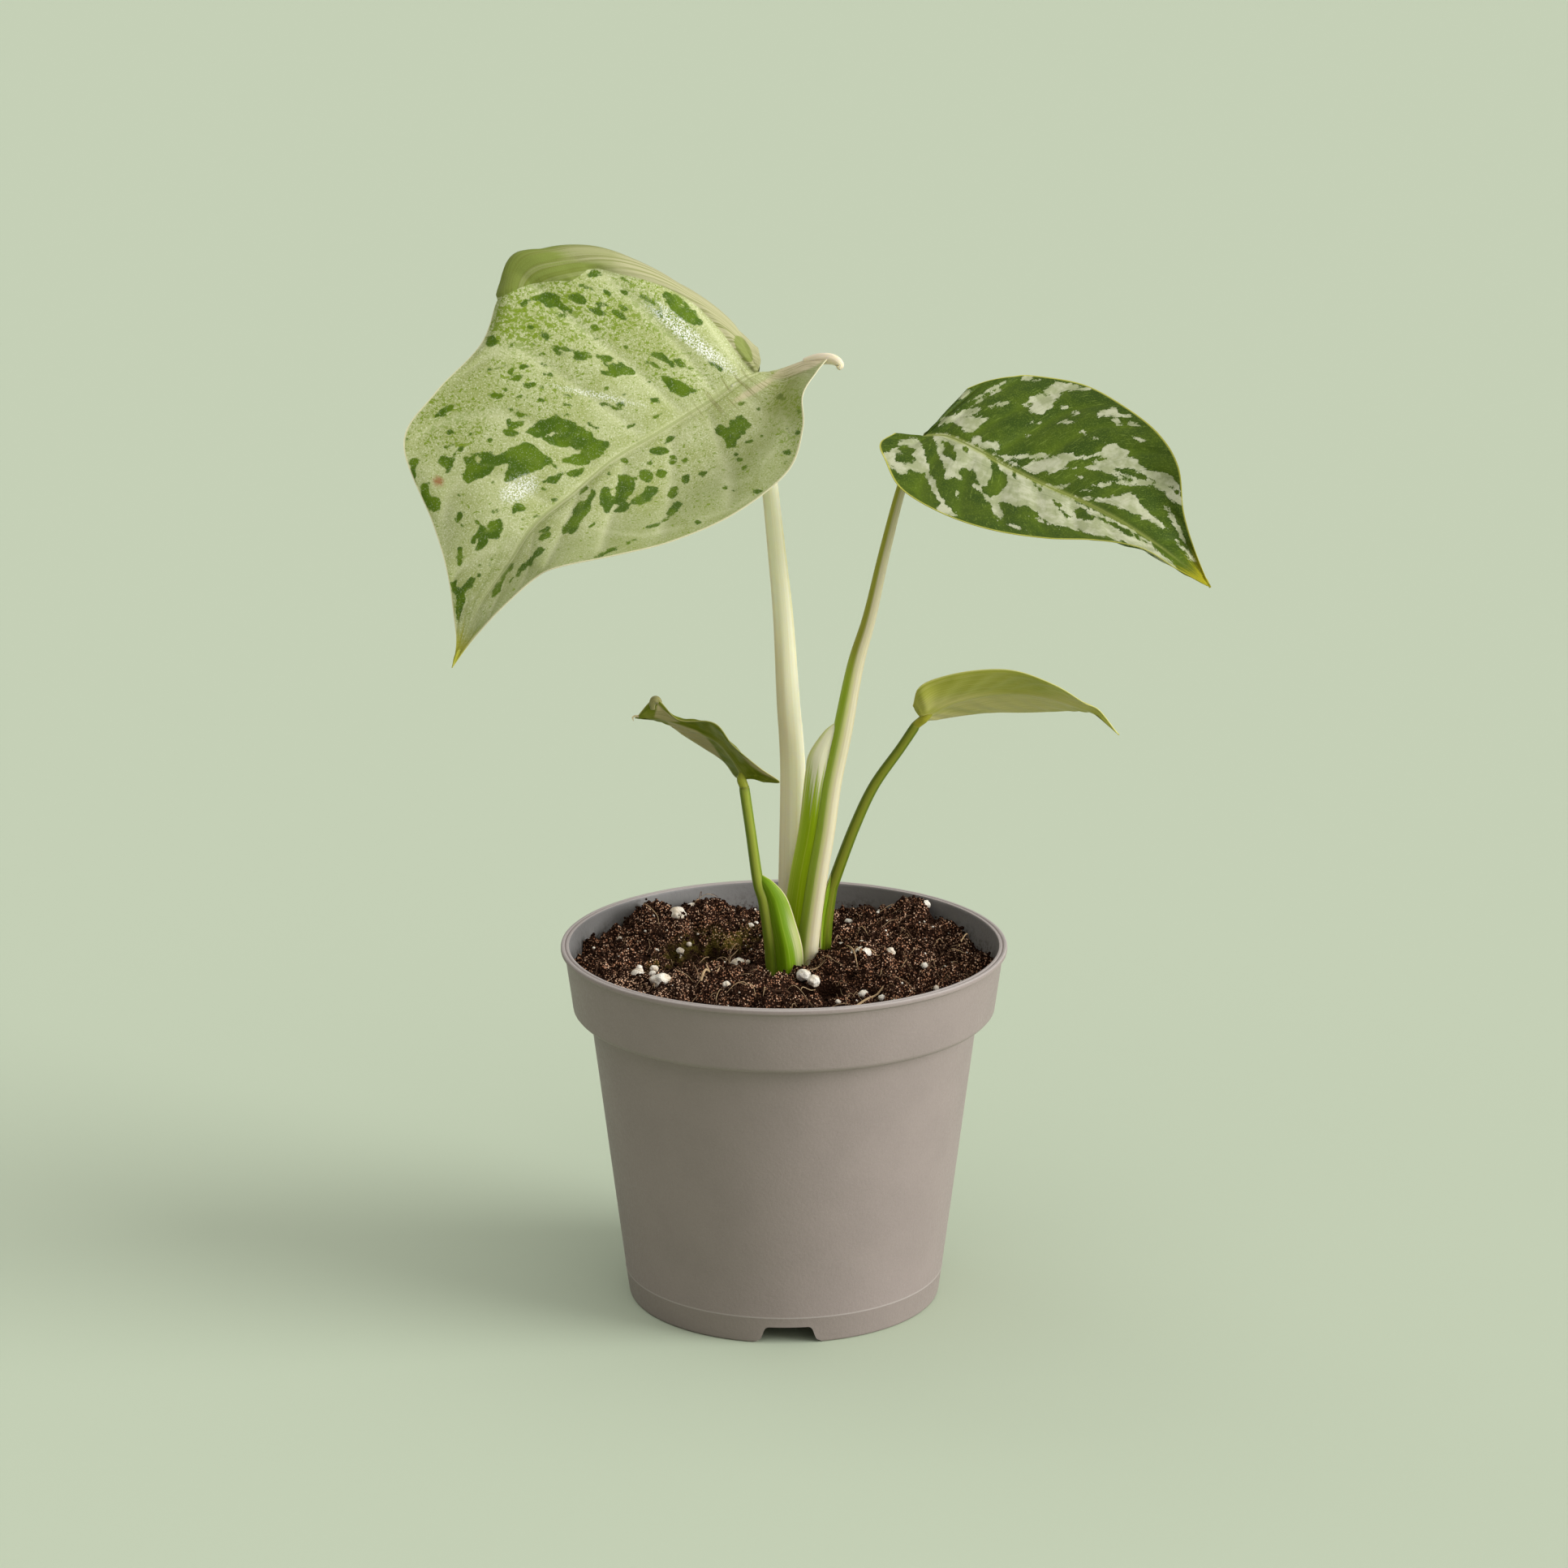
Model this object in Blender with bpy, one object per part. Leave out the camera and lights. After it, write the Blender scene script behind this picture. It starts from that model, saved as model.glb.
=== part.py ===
# A young variegated monstera in a nursery pot: pot, soil, stems and leaves, each a solid of its own.
# Metres, +Z up, -Y the front. Everything is laid out about the pot's axis, and the last step moves
# it all so that the origin is the middle of the base of the part's box.
import math
import random

import bmesh
import bpy
from mathutils import Vector, noise

# Gaps and tolerances
CLEARANCE = 0.0003
WELD = 0.000002

# Angles above which an edge stays sharp
TURNED_CREASE = math.radians(40)
STEM_CREASE = math.radians(50)
BLADE_CREASE = math.radians(60)

# Colours and roughness
TAUPE = (0.36, 0.33, 0.30)
SOIL_BROWN = (0.05, 0.03, 0.02)
CREAM = (0.62, 0.60, 0.36)
STALK_GREEN = (0.16, 0.27, 0.04)
PALE_GREEN = (0.42, 0.52, 0.33)
DARK_GREEN = (0.09, 0.19, 0.03)
YOUNG_GREEN = (0.23, 0.34, 0.09)
PLASTIC_ROUGHNESS = 0.55
SOIL_ROUGHNESS = 0.95
STALK_ROUGHNESS = 0.45
LEAF_ROUGHNESS = 0.35

# Pot: turned outline, radius and height. Roundings are (inwards, up or down) from the named corner.
POT_SEGMENTS = 48
POT_HEIGHT = 0.0986
WALL = 0.0012
FOOT_RADIUS = 0.0424
FOOT_RING = 0.0018
FOOT_ROUNDING = [(0.0008, 0.0), (0.0002, 0.00024), (0.0, 0.0008)]
FLOOR_UNDERSIDE = 0.0050
FLOOR_TOP = FLOOR_UNDERSIDE + WALL
SEAM_HEIGHT = 0.0075
SEAM_RISE = 0.0002
SHOULDER_RADIUS = 0.0522
SHOULDER_HEIGHT = 0.0798
BAND_FOOT_RADIUS = 0.0569
BAND_FOOT_HEIGHT = 0.0818
BAND_TOP_RADIUS = 0.0589
BAND_ROUNDING = [(0.0016, 0.0016), (0.0004, 0.0011), (0.0, 0.0)]
LIP_HEIGHT = 0.0971
LIP_RADIUS = 0.0600
LIP_OUTLINE = [(0.0002, 0.0014), (0.0, 0.0009), (0.0003, 0.0), (0.0009, 0.0), (0.0012, 0.0003), (0.0015, 0.0),
               (0.0021, 0.0)]
INSIDE_STEP = [(0.0, -0.0006), (0.0008, 0.0004), (0.0, -0.0006)]

# Notches in the foot ring and drain holes in the floor
NOTCH_COUNT = 3
FIRST_NOTCH = math.radians(-88.4)
NOTCH_OUTLINE = [(-0.0092, -0.0010), (-0.0087, 0.0004), (-0.0074, 0.0012), (-0.0066, 0.0030),
                 (-0.0061, 0.0043), (-0.0050, 0.0048)]
NOTCH_REACH = (0.0360, 0.0460)
DRAIN_COUNT = 6
DRAIN_CIRCLE = 0.0250
DRAIN_RADIUS = 0.0030
DRAIN_SIDES = 12

# Soil: a level with mounds (x, y, radius, rise) and small clods over it
SOIL_BOTTOM = FLOOR_TOP + CLEARANCE
SOIL_LEVEL = 0.0900
SOIL_CELL = 0.0048
SOIL_SHIFT = (0.0007, -0.0004)
SOIL_MOUNDS = [(0.020, 0.000, 0.013, 0.0045), (0.030, 0.012, 0.014, 0.0030),
               (-0.038, 0.034, 0.012, 0.0060), (-0.022, 0.040, 0.010, 0.0045),
               (0.038, 0.036, 0.009, 0.0075), (0.020, 0.036, 0.012, 0.0035),
               (-0.047, 0.004, 0.012, 0.0040), (-0.018, 0.022, 0.011, -0.0045),
               (0.047, 0.012, 0.010, 0.0015), (-0.006, -0.022, 0.014, 0.0020),
               (-0.030, -0.014, 0.010, 0.0010), (0.004, -0.046, 0.016, -0.0030),
               (0.008, 0.024, 0.010, -0.0020)]
CLOD_SIZES = [(0.011, 0.0016), (0.005, 0.0010)]

# Perlite: the grains that stand out (x, y, radius), then small ones scattered by a seeded rule
GRAINS = [(-0.0123, 0.0036, 0.0019), (-0.0326, -0.0149, 0.0029), (-0.0393, -0.0077, 0.0017),
          (0.0212, -0.0010, 0.0021), (0.0206, 0.0040, 0.0018), (0.0286, 0.0012, 0.0014),
          (0.0052, -0.0087, 0.0018), (0.0080, -0.0150, 0.0018), (-0.0148, -0.0273, 0.0014),
          (-0.0294, 0.0349, 0.0023), (-0.0255, 0.0415, 0.0013), (0.0284, -0.0217, 0.0012),
          (0.0377, -0.0106, 0.0011), (-0.0349, -0.0022, 0.0011), (0.0230, 0.0411, 0.0014),
          (0.0392, 0.0380, 0.0013), (0.0434, -0.0027, 0.0011), (-0.0447, 0.0233, 0.0011)]
SMALL_GRAIN_COUNT = 34
SMALL_GRAIN_RADIUS = (0.0006, 0.0011)
SMALL_GRAIN_SPREAD = 0.0470
GRAIN_GAP = 0.0006
FINE_GRAIN_RADIUS = 0.0018
GRAIN_LUMPS = (0.82, 1.08)
GRAIN_WIDTH = (0.9, 1.15)
GRAIN_FLATNESS = (0.8, 1.0)
GRAIN_LIFT = 0.3
STEM_SURROUND = 0.0135
SEED = 7

# Stems: centre line, radius at each point, from the bottom up
STEM_FOOT = 0.0790
STEM_SIDES = 12
LARGE_PETIOLE = [((0.0026, 0.0118, STEM_FOOT), 0.0038), ((0.0022, 0.0125, 0.0973), 0.0038),
                 ((0.0022, 0.0130, 0.1108), 0.0037), ((0.0024, 0.0138, 0.1424), 0.0034),
                 ((0.0011, 0.0138, 0.1631), 0.0031), ((-0.0002, 0.0130, 0.1853), 0.0027),
                 ((-0.0019, 0.0120, 0.2032), 0.0024), ((-0.0034, 0.0110, 0.2181), 0.0022),
                 ((-0.0053, 0.0092, 0.2366), 0.0020), ((-0.0064, 0.0078, 0.2480), 0.0020)]
RIGHT_PETIOLE = [((0.0060, 0.0055, STEM_FOOT), 0.0031), ((0.0064, 0.0050, 0.0960), 0.0030),
                 ((0.0087, 0.0050, 0.1143), 0.0029), ((0.0109, 0.0050, 0.1281), 0.0028),
                 ((0.0128, 0.0050, 0.1419), 0.0027), ((0.0157, 0.0050, 0.1563), 0.0026),
                 ((0.0190, 0.0060, 0.1736), 0.0022), ((0.0227, 0.0060, 0.1869), 0.0018),
                 ((0.0266, 0.0060, 0.2045), 0.0015), ((0.0310, 0.0060, 0.2219), 0.0013),
                 ((0.0348, 0.0055, 0.2315), 0.0013)]
SMALL_LEFT_PETIOLE = [((-0.0024, 0.0002, STEM_FOOT), 0.0022), ((-0.0028, 0.0000, 0.0907), 0.0021),
                      ((-0.0039, -0.0008, 0.1013), 0.0018), ((-0.0054, -0.0010, 0.1104), 0.0016),
                      ((-0.0070, -0.0010, 0.1161), 0.0015), ((-0.0089, -0.0010, 0.1298), 0.0014),
                      ((-0.0104, -0.0008, 0.1405), 0.0014)]
SMALL_RIGHT_PETIOLE = [((0.0106, 0.0098, STEM_FOOT), 0.0019), ((0.0112, 0.0100, 0.0979), 0.0018),
                       ((0.0127, 0.0100, 0.1094), 0.0016), ((0.0138, 0.0100, 0.1135), 0.0016),
                       ((0.0190, 0.0100, 0.1279), 0.0015), ((0.0242, 0.0100, 0.1394), 0.0014),
                       ((0.0311, 0.0100, 0.1496), 0.0013), ((0.0346, 0.0100, 0.1550), 0.0013)]

# Sheaths: rows from the top down, each from inside the stem round to the free edge
SHEATH_THICKNESS = 0.0010
RIGHT_SHEATH = [[(0.0160, 0.0050, 0.1580), (0.0150, 0.0048, 0.1582), (0.0139, 0.0050, 0.1584)],
                [(0.0155, 0.0050, 0.1550), (0.0130, 0.0040, 0.1556), (0.0106, 0.0046, 0.1558)],
                [(0.0143, 0.0050, 0.1495), (0.0105, 0.0036, 0.1500), (0.0067, 0.0048, 0.1498)],
                [(0.0128, 0.0050, 0.1420), (0.0092, 0.0036, 0.1430), (0.0057, 0.0060, 0.1440)],
                [(0.0109, 0.0050, 0.1285), (0.0073, 0.0040, 0.1285), (0.0040, 0.0074, 0.1287)],
                [(0.0087, 0.0050, 0.1143), (0.0048, 0.0044, 0.1143), (0.0013, 0.0078, 0.1142)],
                [(0.0070, 0.0050, 0.1000), (0.0032, 0.0044, 0.1000), (-0.0004, 0.0080, 0.1000)],
                [(0.0062, 0.0054, 0.0890), (0.0028, 0.0048, 0.0890), (-0.0008, 0.0080, 0.0890)],
                [(0.0060, 0.0055, STEM_FOOT), (0.0028, 0.0048, STEM_FOOT), (-0.0008, 0.0080, STEM_FOOT)]]
SMALL_LEFT_SHEATH = [
    [(-0.0070, -0.0010, 0.1160), (-0.0065, -0.0012, 0.1170), (-0.0061, -0.0012, 0.1180)],
    [(-0.0065, -0.0010, 0.1140), (-0.0046, -0.0022, 0.1150), (-0.0026, -0.0014, 0.1156)],
    [(-0.0054, -0.0010, 0.1104), (-0.0026, -0.0026, 0.1108), (0.0007, -0.0010, 0.1113)],
    [(-0.0043, -0.0009, 0.1040), (-0.0010, -0.0032, 0.1040), (0.0031, -0.0004, 0.1040)],
    [(-0.0034, -0.0005, 0.0965), (0.0006, -0.0034, 0.0965), (0.0049, 0.0004, 0.0967)],
    [(-0.0028, 0.0000, 0.0890), (0.0012, -0.0034, 0.0890), (0.0052, 0.0008, 0.0890)],
    [(-0.0024, 0.0002, STEM_FOOT), (0.0014, -0.0030, STEM_FOOT), (0.0052, 0.0010, STEM_FOOT)]]
SMALL_RIGHT_SHEATH = [[(0.0136, 0.0100, 0.1140), (0.0131, 0.0096, 0.1144), (0.0127, 0.0094, 0.1148)],
                      [(0.0127, 0.0100, 0.1094), (0.0117, 0.0086, 0.1094), (0.0109, 0.0080, 0.1094)],
                      [(0.0113, 0.0100, 0.0985), (0.0103, 0.0086, 0.0985), (0.0099, 0.0076, 0.0985)],
                      [(0.0106, 0.0098, STEM_FOOT), (0.0098, 0.0086, STEM_FOOT), (0.0098, 0.0076, STEM_FOOT)]]

# Short stem in the soil that the petioles grow from
STEM_BASE_CENTRE = (0.0040, 0.0068)
STEM_BASE_OUTLINE = [(0.0, 0.0560), (0.0055, 0.0575), (0.0085, 0.0640), (0.0110, 0.0740),
                     (0.0110, STEM_FOOT - CLEARANCE), (0.0, STEM_FOOT - CLEARANCE)]
STEM_BASE_SEGMENTS = 20

# Blades: stations from the stalk to the tip. Each holds the midrib point, then the points of the left
# half and of the right half out to the edge, as seen from above with the tip ahead. The first
# stations share the stalk's point and fan round the heart-shaped base.
LARGE_BLADE = [
    [(-0.0070, 0.0060, 0.2525),
     [(-0.0015, 0.0090, 0.2525), (0.0065, 0.0090, 0.2545), (0.0150, 0.0050, 0.2555)],
     [(-0.0065, 0.0100, 0.2545), (-0.0075, 0.0150, 0.2570), (-0.0085, 0.0240, 0.2535)]],
    [(-0.0070, 0.0060, 0.2525),
     [(-0.0010, 0.0070, 0.2505), (0.0050, 0.0040, 0.2530), (0.0085, -0.0010, 0.2535)],
     [(-0.0125, 0.0120, 0.2590), (-0.0155, 0.0200, 0.2645), (-0.0185, 0.0310, 0.2585)]],
    [(-0.0110, 0.0045, 0.2510),
     [(-0.0035, 0.0000, 0.2460), (0.0020, -0.0040, 0.2490), (0.0050, -0.0090, 0.2490)],
     [(-0.0210, 0.0100, 0.2645), (-0.0310, 0.0190, 0.2755), (-0.0360, 0.0310, 0.2670)]],
    [(-0.0180, 0.0010, 0.2465),
     [(-0.0100, -0.0080, 0.2400), (-0.0015, -0.0150, 0.2405), (0.0050, -0.0180, 0.2420)],
     [(-0.0325, 0.0080, 0.2670), (-0.0470, 0.0150, 0.2830), (-0.0515, 0.0270, 0.2755)]],
    [(-0.0255, -0.0025, 0.2425),
     [(-0.0180, -0.0130, 0.2335), (-0.0085, -0.0220, 0.2335), (0.0010, -0.0270, 0.2325)],
     [(-0.0450, 0.0050, 0.2650), (-0.0620, 0.0110, 0.2835), (-0.0665, 0.0200, 0.2765)]],
    [(-0.0340, -0.0070, 0.2380),
     [(-0.0290, -0.0180, 0.2280), (-0.0215, -0.0280, 0.2245), (-0.0125, -0.0340, 0.2230)],
     [(-0.0560, 0.0010, 0.2605), (-0.0705, 0.0080, 0.2795), (-0.0735, 0.0110, 0.2735)]],
    [(-0.0445, -0.0120, 0.2325),
     [(-0.0415, -0.0220, 0.2245), (-0.0365, -0.0330, 0.2190), (-0.0280, -0.0390, 0.2170)],
     [(-0.0625, -0.0040, 0.2510), (-0.0730, 0.0000, 0.2630), (-0.0785, 0.0010, 0.2610)]],
    [(-0.0545, -0.0180, 0.2250),
     [(-0.0530, -0.0270, 0.2200), (-0.0490, -0.0360, 0.2160), (-0.0420, -0.0420, 0.2140)],
     [(-0.0695, -0.0100, 0.2400), (-0.0815, -0.0060, 0.2480), (-0.0905, -0.0050, 0.2490)]],
    [(-0.0640, -0.0240, 0.2180),
     [(-0.0625, -0.0310, 0.2150), (-0.0605, -0.0380, 0.2125), (-0.0570, -0.0430, 0.2110)],
     [(-0.0775, -0.0170, 0.2285), (-0.0895, -0.0120, 0.2340), (-0.0985, -0.0100, 0.2365)]],
    [(-0.0700, -0.0305, 0.2100),
     [(-0.0675, -0.0350, 0.2090), (-0.0655, -0.0390, 0.2085), (-0.0632, -0.0420, 0.2078)],
     [(-0.0765, -0.0275, 0.2130), (-0.0835, -0.0240, 0.2155), (-0.0905, -0.0200, 0.2175)]],
    [(-0.0770, -0.0360, 0.2010),
     [(-0.0753, -0.0385, 0.2005), (-0.0737, -0.0410, 0.2000), (-0.0722, -0.0425, 0.1997)],
     [(-0.0800, -0.0340, 0.2028), (-0.0832, -0.0315, 0.2046), (-0.0864, -0.0290, 0.2066)]],
    [(-0.0804, -0.0388, 0.1940),
     [(-0.0797, -0.0398, 0.1937), (-0.0790, -0.0408, 0.1933), (-0.0783, -0.0416, 0.1929)],
     [(-0.0817, -0.0380, 0.1948), (-0.0830, -0.0371, 0.1954), (-0.0843, -0.0361, 0.1960)]],
    [(-0.0829, -0.0404, 0.1888),
     [(-0.0826, -0.0407, 0.1886), (-0.0823, -0.0410, 0.1885), (-0.0820, -0.0413, 0.1884)],
     [(-0.0831, -0.0402, 0.1893), (-0.0834, -0.0400, 0.1899), (-0.0837, -0.0398, 0.1905)]],
]
LARGE_TIP = (-0.0846, -0.0412, 0.1845)

RIGHT_BLADE = [
    [(0.0370, 0.0040, 0.2360),
     [(0.0420, 0.0096, 0.2410), (0.0485, 0.0155, 0.2465)],
     [(0.0331, 0.0033, 0.2362), (0.0290, 0.0030, 0.2368)]],
    [(0.0370, 0.0040, 0.2360),
     [(0.0445, 0.0102, 0.2415), (0.0535, 0.0175, 0.2480)],
     [(0.0314, 0.0006, 0.2349), (0.0250, -0.0014, 0.2349)]],
    [(0.0425, 0.0036, 0.2360),
     [(0.0500, 0.0110, 0.2427), (0.0595, 0.0195, 0.2488)],
     [(0.0341, -0.0032, 0.2320), (0.0262, -0.0069, 0.2316)]],
    [(0.0495, 0.0005, 0.2335),
     [(0.0610, 0.0120, 0.2425), (0.0660, 0.0220, 0.2486)],
     [(0.0385, -0.0128, 0.2255), (0.0302, -0.0155, 0.2257)]],
    [(0.0580, -0.0020, 0.2290),
     [(0.0715, 0.0110, 0.2400), (0.0795, 0.0200, 0.2465)],
     [(0.0490, -0.0180, 0.2215), (0.0405, -0.0240, 0.2210)]],
    [(0.0675, -0.0060, 0.2250),
     [(0.0810, 0.0070, 0.2370), (0.0905, 0.0130, 0.2415)],
     [(0.0605, -0.0200, 0.2200), (0.0530, -0.0280, 0.2175)]],
    [(0.0780, -0.0100, 0.2210),
     [(0.0890, 0.0010, 0.2305), (0.0985, 0.0050, 0.2360)],
     [(0.0715, -0.0220, 0.2175), (0.0670, -0.0290, 0.2155)]],
    [(0.0880, -0.0150, 0.2165),
     [(0.0960, -0.0050, 0.2230), (0.1030, -0.0030, 0.2290)],
     [(0.0825, -0.0240, 0.2155), (0.0800, -0.0290, 0.2150)]],
    [(0.0975, -0.0190, 0.2110),
     [(0.1005, -0.0120, 0.2150), (0.1040, -0.0100, 0.2185)],
     [(0.0935, -0.0250, 0.2115), (0.0915, -0.0290, 0.2130)]],
    [(0.1045, -0.0220, 0.2060),
     [(0.1060, -0.0180, 0.2075), (0.1065, -0.0170, 0.2100)],
     [(0.1020, -0.0250, 0.2065), (0.1010, -0.0270, 0.2070)]],
]
RIGHT_TIP = (0.1100, -0.0240, 0.2015)

SMALL_RIGHT_BLADE = [
    [(0.0365, 0.0100, 0.1585),
     [(0.0370, 0.0120, 0.1570), (0.0378, 0.0145, 0.1562)],
     [(0.0352, 0.0085, 0.1605), (0.0344, 0.0065, 0.1622)]],
    [(0.0380, 0.0100, 0.1590),
     [(0.0405, 0.0140, 0.1575), (0.0435, 0.0180, 0.1560)],
     [(0.0370, 0.0050, 0.1635), (0.0355, 0.0020, 0.1680)]],
    [(0.0430, 0.0100, 0.1620),
     [(0.0455, 0.0150, 0.1590), (0.0490, 0.0190, 0.1565)],
     [(0.0420, 0.0050, 0.1665), (0.0400, 0.0010, 0.1710)]],
    [(0.0510, 0.0100, 0.1645),
     [(0.0530, 0.0150, 0.1600), (0.0560, 0.0200, 0.1570)],
     [(0.0505, 0.0050, 0.1685), (0.0500, 0.0000, 0.1735)]],
    [(0.0600, 0.0100, 0.1655),
     [(0.0620, 0.0150, 0.1610), (0.0650, 0.0200, 0.1570)],
     [(0.0605, 0.0050, 0.1695), (0.0610, 0.0000, 0.1735)]],
    [(0.0690, 0.0100, 0.1645),
     [(0.0705, 0.0150, 0.1605), (0.0725, 0.0190, 0.1575)],
     [(0.0705, 0.0060, 0.1675), (0.0720, 0.0020, 0.1690)]],
    [(0.0780, 0.0110, 0.1615),
     [(0.0790, 0.0140, 0.1595), (0.0800, 0.0160, 0.1585)],
     [(0.0790, 0.0090, 0.1630), (0.0800, 0.0070, 0.1630)]],
    [(0.0835, 0.0125, 0.1590),
     [(0.0838, 0.0134, 0.1583), (0.0841, 0.0140, 0.1578)],
     [(0.0840, 0.0118, 0.1596), (0.0845, 0.0110, 0.1598)]],
]
SMALL_RIGHT_TIP = (0.0900, 0.0150, 0.1520)

SMALL_LEFT_BLADE = [
    [(-0.0105, 0.0000, 0.1440),
     [(-0.0080, -0.0006, 0.1443), (-0.0045, -0.0010, 0.1432)],
     [(-0.0115, 0.0020, 0.1445), (-0.0125, 0.0040, 0.1430)]],
    [(-0.0108, 0.0000, 0.1455),
     [(-0.0065, -0.0025, 0.1460), (-0.0012, -0.0020, 0.1436)],
     [(-0.0122, 0.0030, 0.1450), (-0.0136, 0.0055, 0.1435)]],
    [(-0.0130, 0.0000, 0.1495),
     [(-0.0096, -0.0040, 0.1495), (-0.0065, -0.0060, 0.1485)],
     [(-0.0148, 0.0040, 0.1480), (-0.0165, 0.0070, 0.1470)]],
    [(-0.0172, 0.0000, 0.1545),
     [(-0.0150, -0.0045, 0.1560), (-0.0135, -0.0075, 0.1550)],
     [(-0.0196, 0.0045, 0.1522), (-0.0220, 0.0070, 0.1508)]],
    [(-0.0230, 0.0000, 0.1575),
     [(-0.0208, -0.0045, 0.1605), (-0.0185, -0.0070, 0.1610)],
     [(-0.0252, 0.0035, 0.1555), (-0.0270, 0.0055, 0.1545)]],
    [(-0.0285, -0.0005, 0.1598),
     [(-0.0280, -0.0030, 0.1615), (-0.0280, -0.0045, 0.1612)],
     [(-0.0300, 0.0020, 0.1585), (-0.0310, 0.0035, 0.1580)]],
    [(-0.0332, -0.0010, 0.1612),
     [(-0.0334, -0.0025, 0.1635), (-0.0340, -0.0030, 0.1665)],
     [(-0.0342, 0.0005, 0.1602), (-0.0350, 0.0015, 0.1598)]],
]
SMALL_LEFT_TIP = (-0.0395, -0.0010, 0.1608)

# Blades: rows along, columns across each half (0 midrib, 1 edge), depth of the midrib
LARGE_ROWS, RIGHT_ROWS, SMALL_ROWS = 28, 22, 18
LARGE_RIB, RIGHT_RIB, SMALL_RIB = 0.0016, 0.0012, 0.0006
RIB_FADE = 0.8
BLADE_THICKNESS = 0.0008
BLADE_MERGE = 0.0011
HALF_COLUMNS = [0.0, 0.07, 0.22, 0.42, 0.62, 0.82, 1.0]
SMALL_HALF_COLUMNS = [0.0, 0.12, 0.4, 0.7, 1.0]

# Knee, where the stalk bends into the midrib: lengths, then shares of its height and radius
KNEE_RUN = 0.0040
KNEE_BEND = 0.40
KNEE_LEAN = 0.20
KNEE_END = 0.35
KNEE_STEPS = 7


def clear_scene():
    for obj in list(bpy.data.objects):
        bpy.data.objects.remove(obj, do_unlink=True)


def material(name, colour, roughness):
    mat = bpy.data.materials.new(name)
    mat.use_nodes = True
    shader = mat.node_tree.nodes["Principled BSDF"]
    shader.inputs["Base Color"].default_value = (*colour, 1.0)
    shader.inputs["Roughness"].default_value = roughness
    shader.inputs["Metallic"].default_value = 0.0
    return mat


def add_object(name, bm, mat=None):
    mesh = bpy.data.meshes.new(name)
    bm.to_mesh(mesh)
    bm.free()
    obj = bpy.data.objects.new(name, mesh)
    bpy.context.collection.objects.link(obj)
    if mat:
        mesh.materials.append(mat)
    return obj


def shade_round(obj, crease=TURNED_CREASE):
    obj.data.shade_smooth()
    obj.data.set_sharp_from_angle(angle=crease)


def combine(target, others, operation):
    # Joins or cuts the target by all the others at once, applies it and removes them
    group = bpy.data.collections.new(f"{target.name}_{operation.lower()}")
    bpy.context.scene.collection.children.link(group)
    for obj in others:
        bpy.context.collection.objects.unlink(obj)
        group.objects.link(obj)
    modifier = target.modifiers.new(operation, "BOOLEAN")
    modifier.operation = operation
    modifier.operand_type = "COLLECTION"
    modifier.collection = group
    modifier.solver = "EXACT"
    graph = bpy.context.evaluated_depsgraph_get()
    result = bpy.data.meshes.new_from_object(target.evaluated_get(graph))
    target.modifiers.clear()
    old = target.data
    target.data = result
    bpy.data.meshes.remove(old)
    result.name = target.name
    for obj in list(group.objects):
        bpy.data.objects.remove(obj, do_unlink=True)
    bpy.data.collections.remove(group)


def spline(points, t):
    # A smooth curve through all the points; t runs from 0 to 1
    place = t * (len(points) - 1)
    i = min(int(place), len(points) - 2)
    f = place - i
    p1, p2 = points[i], points[i + 1]
    p0 = points[i - 1] if i > 0 else p1 * 2 - p2
    p3 = points[i + 2] if i + 2 < len(points) else p2 * 2 - p1
    squared = p0 * 2 - p1 * 5 + p2 * 4 - p3
    cubed = p1 * 3 - p0 - p2 * 3 + p3
    return p1 + ((p2 - p0) + (squared + cubed * f) * f) * (f / 2)


def lathe(profile, segments):
    # Turns an outline of (radius, height) points that starts and ends on the axis
    bm = bmesh.new()
    verts = [bm.verts.new((r, 0, z)) for r, z in profile]
    edges = [bm.edges.new(pair) for pair in zip(verts, verts[1:])]
    bmesh.ops.spin(bm, geom=verts + edges, cent=(0, 0, 0), axis=(0, 0, 1), angle=math.tau,
                   steps=segments, use_merge=True)
    bmesh.ops.remove_doubles(bm, verts=bm.verts, dist=WELD)
    bmesh.ops.recalc_face_normals(bm, faces=bm.faces)
    return bm


def tube(points, radii, sides):
    # A round bar along the points, with a radius at each and flat ends
    bm = bmesh.new()
    rings = []
    for i, (point, radius) in enumerate(zip(points, radii)):
        along = (points[min(i + 1, len(points) - 1)] - points[max(i - 1, 0)]).normalized()
        side = along.cross(Vector((0, 1, 0))).normalized()
        out = side.cross(along)
        turns = [math.tau * k / sides for k in range(sides)]
        rings.append([bm.verts.new(point + (side * math.cos(a) + out * math.sin(a)) * radius) for a in turns])
    for ring, next_ring in zip(rings, rings[1:]):
        for k in range(sides):
            bm.faces.new((ring[k], ring[(k + 1) % sides], next_ring[(k + 1) % sides], next_ring[k]))
    bm.faces.new(rings[0])
    bm.faces.new(rings[-1])
    bmesh.ops.recalc_face_normals(bm, faces=bm.faces)
    return bm


def kept_columns(row, merge):
    # For each point of a row, the one that stands for it: from the middle outwards, points closer
    # than the merge distance to the last one kept, or to the end, are left out
    middle = len(row) // 2
    kept = [middle] * len(row)
    for side in (-1, 1):
        last, end = middle, middle + side * middle
        for j in range(middle + side, end + side, side):
            apart = (row[j] - row[last]).length >= merge and (row[j] - row[end]).length >= merge
            last = j if j == end or apart else last
            kept[j] = last
    return kept


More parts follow.
